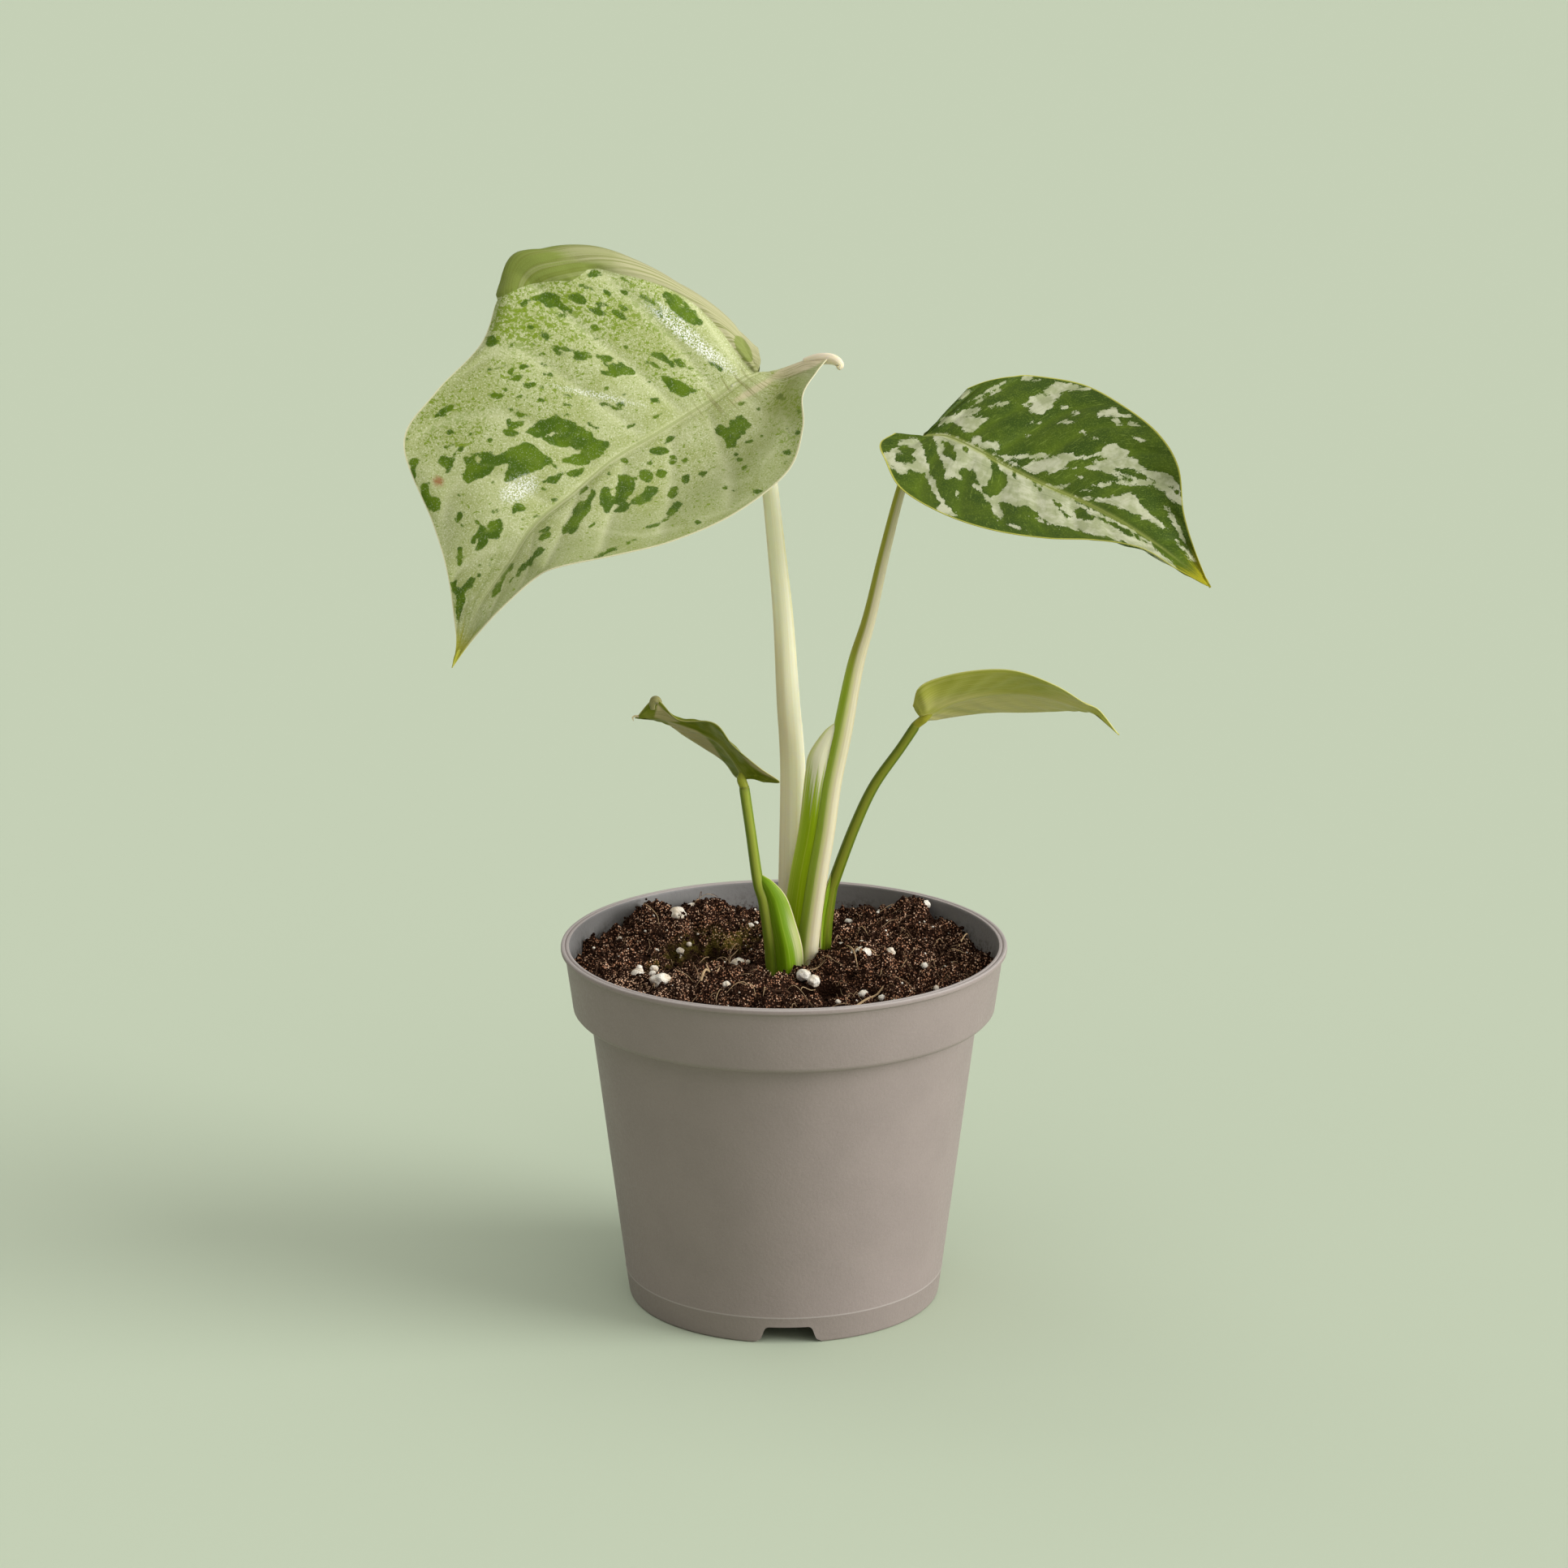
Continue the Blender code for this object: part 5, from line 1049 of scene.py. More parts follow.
              (776, 667, 12, 3, -25), (541, 594, 4, 4, 0), (566, 610, 5, 3, 0), (591, 697, 5, 5, 0), (590, 709, 5, 4,
              0), (610, 684, 8, 3, -40), (603, 696, 5, 3, 0), (770, 568, 10, 7, 20), (782, 590, 5, 4, 0), (750, 584,
              5, 4, 0), (749, 589, 4, 4, 0), (800, 470, 3, 3, 0), (853, 455, 5, 4, 0), (812, 426, 6, 4, 30), (727,
              524, 10, 5, 10), (775, 525, 12, 4, -10), (735, 527, 7, 4, 0)],
    "gaps": [[585, 563, 589, 562, 594, 568, 590, 572, 586, 568]],
    "gapOvals": [(839, 377, 8, 4, 0)],
}
# The far edge of the large leaf rolls over: its paler underside shows above this line
largeRoll = [600, 352, 608, 325, 640, 298, 671, 290, 710, 288, 750, 290, 790, 302, 830, 325, 870, 348, 905, 375, 945,
             410, 945, 455, 929, 459, 915, 444, 903, 428, 890, 410, 875, 393, 860, 378, 845, 367, 828, 358, 810, 350,
             795, 345, 780, 341, 765, 338, 750, 334, 738, 331, 724, 332, 717, 338, 711, 342, 704, 347, 690, 346, 675,
             347, 655, 350, 640, 355, 628, 361, 612, 368]
largePaleLines = [[843, 527, 853, 545, 862, 562, 872, 578, 885, 590, 903, 596, 925, 590],
                  [700, 640, 745, 655, 790, 660, 840, 650], [620, 640, 640, 655, 650, 665],
                  [960, 540, 955, 555, 940, 570], [860, 640, 900, 628, 925, 612]]

rightMarks = {
    "patches": [[1107, 545, 1115, 541, 1127, 540, 1133, 541, 1136, 548, 1140, 557, 1142, 570, 1146, 580, 1151, 592,
                1155, 602, 1160, 612, 1166, 621, 1173, 627, 1179, 635, 1172, 636, 1163, 634, 1155, 627, 1158, 621,
                1154, 612, 1148, 601, 1143, 592, 1140, 583, 1134, 583, 1128, 581, 1122, 577, 1117, 584, 1109, 585,
                1102, 578, 1096, 574, 1093, 567, 1086, 560, 1095, 557, 1101, 554, 1106, 550], [1148, 535, 1160, 534,
                1173, 536, 1187, 543, 1200, 550, 1211, 557, 1218, 563, 1221, 570, 1223, 580, 1221, 589, 1217, 593,
                1216, 598, 1210, 599, 1205, 592, 1202, 585, 1199, 580, 1191, 578, 1181, 579, 1178, 583, 1182, 587,
                1189, 590, 1185, 593, 1180, 589, 1173, 588, 1165, 591, 1165, 578, 1161, 570, 1157, 561, 1155, 552,
                1151, 541], [1226, 565, 1240, 574, 1252, 582, 1265, 588, 1280, 596, 1295, 603, 1310, 610, 1325, 617,
                1340, 625, 1355, 632, 1375, 642, 1395, 653, 1412, 665, 1425, 677, 1440, 690, 1455, 706, 1437, 695,
                1420, 683, 1404, 676, 1388, 668, 1372, 664, 1352, 660, 1340, 656, 1325, 653, 1316, 649, 1301, 647,
                1290, 642, 1279, 633, 1270, 626, 1261, 623, 1252, 625, 1247, 620, 1240, 618, 1231, 620, 1233, 626,
                1236, 633, 1234, 641, 1228, 637, 1223, 630, 1221, 622, 1216, 617, 1211, 610, 1203, 601, 1195, 596,
                1200, 596, 1208, 601, 1214, 609, 1219, 614, 1224, 612, 1231, 609, 1236, 602, 1241, 595, 1241, 587,
                1236, 580, 1231, 573], [1197, 545, 1199, 540, 1205, 537, 1211, 539, 1207, 542, 1213, 543, 1225, 543,
                1234, 546, 1231, 552, 1222, 553, 1212, 551, 1205, 548], [1158, 516, 1163, 514, 1171, 514, 1182, 509,
                1193, 503, 1207, 502, 1210, 505, 1202, 509, 1196, 511, 1191, 514, 1207, 514, 1218, 514, 1213, 518,
                1209, 522, 1204, 527, 1202, 532, 1198, 534, 1191, 533, 1187, 530, 1185, 526, 1180, 523, 1173, 521,
                1164, 521, 1155, 526], [1181, 492, 1184, 486, 1190, 482, 1196, 481, 1192, 487, 1187, 492], [1262, 502,
                1260, 499, 1268, 495, 1270, 489, 1277, 487, 1281, 481, 1290, 478, 1296, 474, 1301, 470, 1309, 471,
                1320, 473, 1332, 477, 1343, 480, 1325, 480, 1313, 481, 1307, 484, 1306, 490, 1298, 495, 1296, 501,
                1290, 505, 1283, 509, 1272, 510, 1266, 508, 1269, 504], [1349, 514, 1352, 508, 1358, 506, 1366, 505,
                1369, 502, 1375, 502, 1378, 507, 1385, 511, 1394, 512, 1390, 514, 1382, 514, 1375, 514, 1368, 511,
                1362, 512, 1356, 515], [1220, 559, 1240, 561, 1247, 562, 1253, 560, 1262, 561, 1280, 559, 1300, 560,
                1315, 560, 1331, 562, 1346, 560, 1355, 556, 1363, 552, 1367, 547, 1376, 549, 1386, 553, 1391, 558,
                1385, 561, 1395, 564, 1403, 570, 1412, 577, 1425, 581, 1437, 583, 1446, 588, 1452, 597, 1456, 612,
                1456, 622, 1447, 618, 1440, 612, 1434, 606, 1424, 600, 1412, 597, 1400, 598, 1385, 598, 1370, 596,
                1364, 593, 1378, 593, 1392, 592, 1380, 588, 1370, 584, 1360, 581, 1345, 578, 1325, 577, 1310, 579,
                1295, 582, 1279, 584, 1268, 582, 1256, 576, 1246, 570, 1234, 564], [1325, 612, 1345, 613, 1362, 614,
                1378, 612, 1385, 608, 1392, 607, 1400, 611, 1402, 618, 1408, 624, 1414, 629, 1420, 637, 1430, 643,
                1440, 652, 1428, 649, 1417, 642, 1408, 639, 1400, 633, 1388, 628, 1375, 624, 1360, 619, 1345, 617],
                [1431, 621, 1437, 624, 1445, 634, 1452, 646, 1457, 660, 1462, 672, 1455, 664, 1449, 652, 1441, 638],
                [1290, 597, 1305, 599, 1318, 597, 1308, 603, 1300, 603]],
    "ovals": [(1378, 520, 13, 7, 10), (1268, 466, 18, 5, 5), (1327, 509, 9, 4, -10), (1273, 522, 9, 3, -10), (1315,
              520, 9, 3, 0), (1397, 523, 10, 3, 15), (1402, 541, 10, 3, 20), (1332, 532, 7, 4, 0), (1309, 502, 7, 3,
              0), (1359, 598, 20, 4, 0), (1340, 604, 11, 3, 0), (1250, 649, 20, 3, 22), (1179, 608, 3, 8, 0), (1209,
              487, 30, 3, -30), (1203, 497, 24, 3, -35), (1232, 498, 14, 3, -10), (1465, 683, 36, 3, 50), (1457, 676,
              22, 3, 55), (1225, 484, 12, 3, -30), (1290, 494, 6, 3, 0), (1262, 536, 7, 2, 0), (1350, 540, 8, 2, 20),
              (1330, 588, 8, 3, 0), (1290, 645, 16, 2, 22)],
    "gaps": [[1107, 550, 1115, 549, 1127, 554, 1125, 560, 1129, 566, 1124, 571, 1112, 572, 1105, 567, 1104, 560, 1110,
             557, 1106, 553], [1161, 545, 1167, 543, 1175, 548, 1176, 556, 1179, 563, 1176, 567, 1168, 562, 1163, 560,
             1165, 552], [1352, 636, 1375, 645, 1395, 655, 1413, 668, 1400, 664, 1380, 654, 1360, 643], [1321, 629,
             1332, 626, 1340, 630, 1350, 637, 1345, 643, 1333, 640, 1324, 636], [1297, 617, 1305, 620, 1310, 624,
             1303, 624], [1305, 627, 1312, 632, 1319, 637, 1312, 635], [1313, 573, 1320, 567, 1332, 565, 1345, 564,
             1358, 563, 1363, 566, 1345, 569, 1360, 573, 1352, 575, 1335, 575, 1320, 576], [1372, 578, 1385, 576,
             1398, 578, 1410, 585, 1424, 593, 1412, 592, 1403, 589, 1388, 584], [1236, 566, 1262, 565, 1290, 563,
             1305, 562, 1284, 567, 1270, 571, 1262, 575, 1250, 571]],
    "gapOvals": [(1284, 485, 11, 5, 0), (1268, 498, 8, 4, 0), (1189, 553, 7, 7, 40), (1278, 600, 3, 9, -40), (1250,
                 584, 5, 10, -30), (1444, 600, 6, 4, 0), (1450, 606, 5, 5, 0), (1385, 589, 14, 3, 20)],
}
youngLeafPale = [[820, 888, 838, 893, 858, 900, 870, 908, 880, 920, 890, 936, 876, 931, 860, 923, 846, 912, 832, 901],
                 [810, 866, 822, 878, 838, 890, 822, 889, 806, 884, 808, 876],
                 [913, 930, 935, 944, 965, 964, 940, 954, 925, 944]]
largeBlade["roll"] = largeRoll
print("marks ready")


leafLooks = {
    "large": {"ground": (0.435, 0.465, 0.225), "deeper": (0.345, 0.38, 0.140), "grainLight": (0.72, 0.75, 0.52),
              "grainDark": (0.26, 0.32, 0.08), "marks": (0.058, 0.112, 0.004), "marksLight": (0.098, 0.165, 0.005),
              "speckle": (0.17, 0.25, 0.008), "rib": (0.60, 0.62, 0.34), "ribLine": (0.22, 0.27, 0.06),
              "vein": (0.66, 0.67, 0.42), "edge": (0.76, 0.70, 0.48), "tip": (0.40, 0.38, 0.02),
              "rollGreen": (0.190, 0.235, 0.045), "rollPale": (0.42, 0.405, 0.225),
              "lobeGreen": (0.24, 0.27, 0.06), "lobeMargin": (0.66, 0.56, 0.38), "fanLine": (0.20, 0.19, 0.06),
              "rollLine": (0.16, 0.19, 0.03),
              "lower": (0.24, 0.28, 0.095), "paintedGlint": (0.93, 0.94, 0.90), "spot": (0.30, 0.09, 0.03),
              "streakiness": 4.0,
              "roughness": 0.45, "fineSize": 2500.0, "tipFrom": 0.84, "pleats": 0.5, "grainShare": 0.5},
    "right": {"ground": (0.032, 0.062, 0.002), "deeper": (0.060, 0.098, 0.003), "grainLight": (0.15, 0.21, 0.03),
              "grainDark": (0.026, 0.052, 0.002), "marks": (0.30, 0.325, 0.175), "marksLight": (0.45, 0.46, 0.31),
              "rib": (0.30, 0.33, 0.08), "ribLine": (0.05, 0.08, 0.003), "vein": (0.105, 0.160, 0.006),
              "edge": (0.50, 0.48, 0.09), "tip": (0.36, 0.32, 0.01), "roughness": 0.45,
              "fineSize": 2500.0, "tipFrom": 0.88, "pleats": 0.5, "grainShare": 0.35, "streakiness": 9.0},
}


def leafMaterial(name, look, speckled=True):
    mat = startMaterial(name, look["roughness"], 0.12)
    place = objectPlace()
    uv, across, along = uvPlace()
    fine = grain(place, look["fineSize"], 2.0, 0.6)
    mottle = grain(place, 110.0, 4.0, 0.6)
    colour = tint(between(mottle, 0.38, 0.66), look["ground"], look["deeper"])
    colour = tint(between(fine, 0.48, 0.36, 0.0, look["grainShare"]), colour, look["grainDark"])
    colour = tint(between(fine, 0.52, 0.66, 0.0, look["grainShare"]), colour, look["grainLight"])
    if speckled:
        # The near half is painted darker, a painted shade; then flecks and fine dots, as many as the field asks for
        colour = tint(between(across, 0.32, 0.16, 0.0, 0.45), colour, look["lower"])
        density = field("speckles")
        flecks = grain(stretched(place, (1.0, 1.0, 1.7), (0.0, 0.35, 0.0)), 560.0, 3.0, 0.62)
        over = between(plus(flecks, maths("MULTIPLY_ADD", density, 0.12, -0.67)), 0.0, 0.02)
        colour = tint(times(over, 0.85), colour, look["speckle"])
        dots = grain(place, 1500.0, 2.0, 0.6)
        over = between(plus(dots, maths("MULTIPLY_ADD", density, 0.13, -0.655)), 0.0, 0.03)
        colour = tint(times(over, 0.8), colour, look["speckle"])
    colour = tint(times(field("vein"), 0.30), colour, look["vein"])
    colour = tint(times(field("pale"), 0.2), colour, look["vein"])
    # Fine streaks along the side veins
    veinPlace = addNode("CombineXYZ", {"X": times(across, 9.0), "Y": times(field("start"), 85.0)}).outputs[0]
    streak = grain(veinPlace, 1.0, 3.0, 0.6)
    if not speckled:
        fleck = times(between(grain(veinPlace, 2.2, 2.0, 0.6), 0.60, 0.68), 0.55)
        colour = tint(fleck, colour, look["grainLight"])
    # The marks, their edges made ragged by two sizes of noise
    ragged = maths("MULTIPLY_ADD", grain(place, 420.0, 2.0, 0.5), 9.0, -4.5)
    ragged = plus(ragged, maths("MULTIPLY_ADD", fine, 5.0, -2.5))
    ragged = plus(ragged, maths("MULTIPLY_ADD", streak, look["streakiness"], -look["streakiness"] / 2))
    inMark = between(plus(field("marks"), ragged), -0.7, 0.7)
    markColour = tint(between(grain(place, 200.0, 3.0, 0.6), 0.40, 0.62), look["marks"], look["marksLight"])
    markColour = tint(between(fine, 0.56, 0.70, 0.0, 0.22), markColour, look["grainLight"])
    markColour = tint(between(streak, 0.46, 0.36, 0.0, 0.12), markColour, look["grainDark"])
    colour = tint(inMark, colour, markColour)
    # The midrib: a pale band with dark hairlines along it
    colour = tint(times(field("rib"), 0.85), colour, look["rib"])
    hairs = grain(stretched(uv, (95.0, 2.0, 1.0)), 1.0, 2.0, 0.5)
    nearRib = between(field("fromMidrib"), 7.0, 0.5, 0.0, look["pleats"])
    hair = times(between(hairs, 0.54, 0.61), nearRib)
    colour = tint(hair, colour, look["ribLine"])
    if speckled:
        # The rolled far edge, green at its left and pale at its right, with faint lines along it
        roll = between(field("roll"), -0.5, 0.6)
        streaks = grain(stretched(uv, (110.0, 2.2, 1.0)), 1.0, 3.0, 0.6)
        wander = maths("MULTIPLY_ADD", streaks, 1.2, plus(field("rollPale"), -0.6))
        rollColour = tint(between(wander, 0.15, 0.85), look["rollGreen"], look["rollPale"])
        rollColour = tint(between(streaks, 0.48, 0.60, 0.0, 0.75), rollColour, look["rollLine"])
        light = grain(stretched(uv, (60.0, 1.4, 1.0)), 1.0, 3.0, 0.6)
        rollColour = tint(between(light, 0.52, 0.64, 0.0, 0.28), rollColour, look["rollPale"])
        under = plus(field("rollUnder"), maths("MULTIPLY_ADD", streaks, 0.8, -0.4))
        rollColour = tint(between(under, 0.35, 0.55, 0.0, 0.85), rollColour, look["rollGreen"])
        colour = tint(roll, colour, rollColour)
        # Dark lines fan out over the near lobe
        fan = grain(stretched(uv, (3.0, 170.0, 1.0)), 1.0, 3.0, 0.6)
        fan = times(between(fan, 0.50, 0.60, 0.0, 0.7), field("fan"))
        colour = tint(between(field("lobeMargin"), 0.0, 0.7, 0.0, 0.8), colour, look["lobeMargin"])
        colour = tint(fan, colour, look["fanLine"])
        # Painted highlights: glints of the gloss painted into the colour, broken by the grain
        paintedGlint = times(field("paintedGlint"), between(fine, 0.46, 0.56))
        colour = tint(paintedGlint, colour, look["paintedGlint"])
        colour = tint(field("spot"), colour, look["spot"])
        colour = tint(times(field("lobe"), 0.40), colour, look["lobeGreen"])
    edge = between(field("fromEdge"), 0.60, 0.15)
    colour = tint(times(edge, 0.8), colour, look["edge"])
    tipStreaks = maths("MULTIPLY_ADD", hairs, 0.25, plus(along, -0.125))
    tipShare = between(tipStreaks, look["tipFrom"], look["tipFrom"] + 0.08, 0.0, 0.85)
    colour = tint(tipShare, colour, look["tip"])
    onto("Base Color", colour)
    rough = between(fine, 0.3, 0.7, look["roughness"] - 0.06, look["roughness"] + 0.14)
    onto("Roughness", rough)
    height = plus(fine, times(hair, -0.8))
    bumpy(height, 0.00008, 0.8)
    return mat


youngLooks = {"youngLeafRight": {"ground": (0.38, 0.38, 0.055), "lines": (0.47, 0.46, 0.100),
                                 "streak": (0.29, 0.31, 0.035), "pale": (0.62, 0.54, 0.26),
                                 "edge": (0.66, 0.62, 0.22), "roughness": 0.42},
              "youngLeafLeft": {"ground": (0.115, 0.145, 0.005), "lines": (0.180, 0.205, 0.012),
                                "streak": (0.32, 0.31, 0.08), "pale": (0.48, 0.40, 0.21), "edge": (0.46, 0.42, 0.15),
                                "roughness": 0.42}}


def youngLeafMaterial(name):
    # The young leaves: plain green with fine lines along them
    look = youngLooks[name]
    mat = startMaterial(name, look["roughness"], 0.12)
    place = objectPlace()
    uv = uvPlace()[0]
    streaks = grain(stretched(uv, (60.0, 2.0, 1.0)), 1.0, 3.0, 0.6)
    colour = tint(between(streaks, 0.38, 0.66), look["ground"], look["lines"])
    colour = tint(between(grain(place, 120.0, 3.0, 0.6), 0.42, 0.70, 0.0, 0.45), colour, look["streak"])
    colour = tint(times(field("rib"), 0.45), colour, look["streak"])
    colour = tint(times(field("pale"), between(streaks, 0.35, 0.65, 0.55, 0.95)), colour, look["pale"])
    rim = between(field("fromEdge"), 0.45, 0.1)
    colour = tint(times(rim, 0.7), colour, look["edge"])
    onto("Base Color", colour)
    bumpy(streaks, 0.0001, 0.6)
    lightThrough(0.12, (0.7, 1.0, 0.2), 0.0006)
    return mat


def stalkMaterial(name, look, roughness=0.38):
    # Fine lines run up the stalk. Bands of other colours lie along it: from and to round it, from and to up it,
    # share and colour
    mat = startMaterial(name, roughness, 0.15)
    uv, around, along = uvPlace()
    lines = grain(stretched(uv, (34.0, 1.6, 1.0)), 1.0, 3.0, 0.6)
    colour = tint(between(lines, 0.38, 0.66, 0.0, 0.6), look["main"], look["shade"])
    wavy = maths("MULTIPLY_ADD", lines, 0.16, plus(around, -0.08))
    for low, high, start, end, share, bandColour in look["bands"]:
        band = times(between(wavy, low - 0.035, low + 0.035), between(wavy, high + 0.035, high - 0.035))
        reach = times(between(along, start - 0.04, start + 0.04), between(along, end + 0.04, end - 0.04))
        colour = tint(times(times(band, reach), share), colour, bandColour)
    onto("Base Color", colour)
    bumpy(lines, 0.00014, 0.6)
    lightThrough(0.5, (1.0, 0.9, 0.4), 0.0025)
    return mat


stalkLooks = {
    "large": {"main": (0.98, 0.92, 0.70), "shade": (0.92, 0.82, 0.54), "bands": [
        (0.20, 0.33, -0.1, 1.1, 0.45, (0.66, 0.52, 0.26)), (0.22, 0.45, 0.02, 0.40, 0.3, (0.60, 0.48, 0.20)),
        (0.66, 0.80, 0.38, 0.56, 0.35, (0.66, 0.66, 0.20)), (0.30, 0.70, -0.1, 0.10, 0.4, (0.50, 0.36, 0.20)),
        (-0.3, 1.3, 0.93, 1.3, 0.8, (0.56, 0.58, 0.29))]},
    "right": {"main": (0.65, 0.60, 0.42), "shade": (0.54, 0.47, 0.27), "bands": [
        (0.14, 0.46, 0.42, 1.1, 0.92, (0.30, 0.30, 0.010)), (0.10, 0.52, -0.1, 0.46, 0.55, (0.52, 0.60, 0.10)),
        (0.10, 0.45, -0.1, 0.46, 0.85, (0.30, 0.43, 0.006)),
        (0.48, 0.50, 0.62, 1.1, 0.7, (0.24, 0.24, 0.03)), (0.56, 0.575, 0.62, 1.1, 0.5, (0.34, 0.33, 0.06)),
        (0.70, 0.76, 0.1, 1.1, 0.5, (0.48, 0.34, 0.14))]},
    "smallLeft": {"main": (0.17, 0.23, 0.015), "shade": (0.10, 0.16, 0.010), "bands": [
        (0.42, 0.62, 0.2, 1.1, 0.7, (0.36, 0.40, 0.06)), (0.30, 0.75, 0.72, 1.1, 0.6, (0.36, 0.36, 0.035))]},
    "smallRight": {"main": (0.105, 0.145, 0.006), "shade": (0.070, 0.110, 0.004), "bands": [
        (0.40, 0.58, 0.1, 1.1, 0.7, (0.26, 0.28, 0.03)), (0.30, 0.75, 0.80, 1.1, 0.8, (0.36, 0.34, 0.03)),
        (0.22, 0.50, -0.1, 0.22, 0.8, (0.24, 0.36, 0.010))]},
    "sheathRight": {"green": (0.33, 0.47, 0.003), "light": (0.56, 0.64, 0.06), "cream": (0.90, 0.86, 0.62),
                    "edge": (0.80, 0.70, 0.44), "creamAbove": 0.38, "creamWithin": 0.05},
    "sheathLeft": {"green": (0.15, 0.27, 0.004), "light": (0.27, 0.38, 0.03), "cream": (0.66, 0.60, 0.36),
                   "edge": (0.66, 0.58, 0.34), "creamAbove": -0.2, "creamWithin": -0.2, "patch": 0.75},
    "sheathSmall": {"green": (0.150, 0.250, 0.006), "light": (0.32, 0.42, 0.04), "cream": (0.60, 0.60, 0.36),
                    "edge": (0.66, 0.64, 0.34), "creamAbove": -0.2, "creamWithin": -0.2},
}


largeLeaf = makeBlade("largeLeaf", largeBlade)
points = getPoints(largeLeaf.data)
writeField(largeLeaf.data, "marks", markField(points, largeMarks))
writeField(largeLeaf.data, "speckles", zoneField(points, [(690, 385, 250, 90, 5, 1.0), (640, 400, 80, 70, 0, 1.3),
                                                          (800, 380, 120, 60, 35, 1.0), (560, 520, 110, 90, 0, 0.8),
                                                          (970, 505, 60, 110, 0, 0.9), (820, 450, 130, 60, 20, 0.7),
                                                          (850, 590, 190, 120, -20, 0.35),
                                                          (660, 470, 160, 90, 0, 0.6),
                                                          (700, 600, 330, 260, 0, 0.15)]))
writeField(largeLeaf.data, "roll", insidePatch(*seenAt(points), largeRoll))
writeField(largeLeaf.data, "rollPale", zoneField(points, [(860, 370, 260, 130, 35, 1.0),
                                                          (740, 312, 120, 30, 5, 0.6)]))
writeField(largeLeaf.data, "rollUnder", zoneField(points, [(916, 430, 36, 15, 60, 1.0),
                                                           (560, 330, 50, 26, -60, 0.6)]))
writeField(largeLeaf.data, "lobeMargin", zoneField(points, [(985, 452, 70, 13, -22, 1.0),
                                                            (930, 480, 60, 9, -30, 0.6)]))
# Painted highlights: where glints of the gloss are painted on the large leaf
writeField(largeLeaf.data, "paintedGlint", zoneField(points, [(852, 418, 120, 15, 38, 0.85), (838, 396, 70, 8, 40, 0.6),
                                                       (640, 602, 44, 26, -28, 0.75), (735, 487, 105, 7, 12, 0.5)]))
writeField(largeLeaf.data, "fan", zoneField(points, [(935, 470, 170, 44, -24, 1.0)]))
writeField(largeLeaf.data, "pale", lineField(points, largePaleLines, 3.0))
writeField(largeLeaf.data, "spot", zoneField(points, [(540, 593, 13, 10, 0, 0.8)]))
writeField(largeLeaf.data, "lobe", zoneField(points, [(965, 490, 46, 70, 20, 1.0), (930, 480, 90, 30, -20, 0.5)]))
largeMat = leafMaterial("paleVariegatedLeaf", leafLooks["large"])
finishPiece(largeLeaf, largeMat, "blade_large")

rightLeaf = makeBlade("rightLeaf", rightBlade)
points = getPoints(rightLeaf.data)
writeField(rightLeaf.data, "marks", markField(points, rightMarks))
finishPiece(rightLeaf, leafMaterial("darkVariegatedLeaf", leafLooks["right"], speckled=False), "blade_right")

smallRightLeaf = makeBlade("smallRightLeaf", smallRightBlade, 0.4)
points = getPoints(smallRightLeaf.data)
writeField(smallRightLeaf.data, "pale", zoneField(points, [(1170, 884, 70, 14, -3, 0.9),
                                                           (1250, 868, 200, 26, 0, 0.75)]))
finishPiece(smallRightLeaf, youngLeafMaterial("youngLeafRight"), "blade_small_right")
smallLeftLeaf = makeBlade("smallLeftLeaf", smallLeftBlade, 0.4)
points = getPoints(smallLeftLeaf.data)
depth = np.full(len(points), -9.0)
for corners in youngLeafPale:
    depth = np.maximum(depth, insidePatch(*seenAt(points), corners))
writeField(smallLeftLeaf.data, "pale", soften(depth, -1.0, 1.5))
finishPiece(smallLeftLeaf, youngLeafMaterial("youngLeafLeft"), "blade_small_left")
print("leaves ready:", sum(len(p.data.polygons) for p in (largeLeaf, rightLeaf, smallRightLeaf, smallLeftLeaf)))


def stalkFor(name, stalk, blade, at, mat, node, sheath=None, sheathMat=None, flare=0.0):
    joint, _ = upwardAt(blade, 0.0)
    ahead, upward = upwardAt(blade, at)
    stem = roundStalk(name, withKnee(stalk, joint, ahead, upward, flare))
    finishPiece(stem, mat, node)
    if sheath:
        wing = sheathWing(name + "Sheath", sheath)
        finishPiece(wing, sheathMat, None)
    return stem


def sheathMaterial(name, look):
    # Green with paler streaks; cream above a height, by the stem, and along the free edge
    mat = startMaterial(name, 0.38, 0.12)
    uv, across, along = uvPlace()
    lines = grain(stretched(uv, (22.0, 1.4, 1.0)), 1.0, 3.0, 0.6)
    colour = tint(between(lines, 0.50, 0.68, 0.0, 0.8), look["green"], look["light"])
    streaky = maths("MULTIPLY_ADD", lines, 0.5, -0.25)
    height = between(plus(along, streaky), look["creamAbove"] + 0.05, look["creamAbove"] - 0.05)
    inner = between(maths("MULTIPLY_ADD", streaky, 0.2, across), look["creamWithin"] + 0.05,
                    look["creamWithin"] - 0.03)
    colour = tint(maths("MAXIMUM", height, inner), colour, look["cream"])
    # A paler patch low down by the free edge
    low = times(between(maths("MULTIPLY_ADD", streaky, 0.8, across), 0.66, 0.88),
                between(along, 0.36, 0.56, 0.0, look.get("patch", 0.0)))
    colour = tint(low, colour, look["cream"])
    lighter = between(maths("MULTIPLY_ADD", streaky, 0.4, across), 0.74, 0.96, 0.0, 0.6)
    colour = tint(lighter, colour, look["light"])
    rim = between(across, 0.955, 0.985, 0.0, 0.9)
    colour = tint(rim, colour, look["edge"])
    onto("Base Color", colour)
    bumpy(lines, 0.00015, 0.6)
    lightThrough(0.12, (0.8, 1.0, 0.3), 0.0008)
    return mat


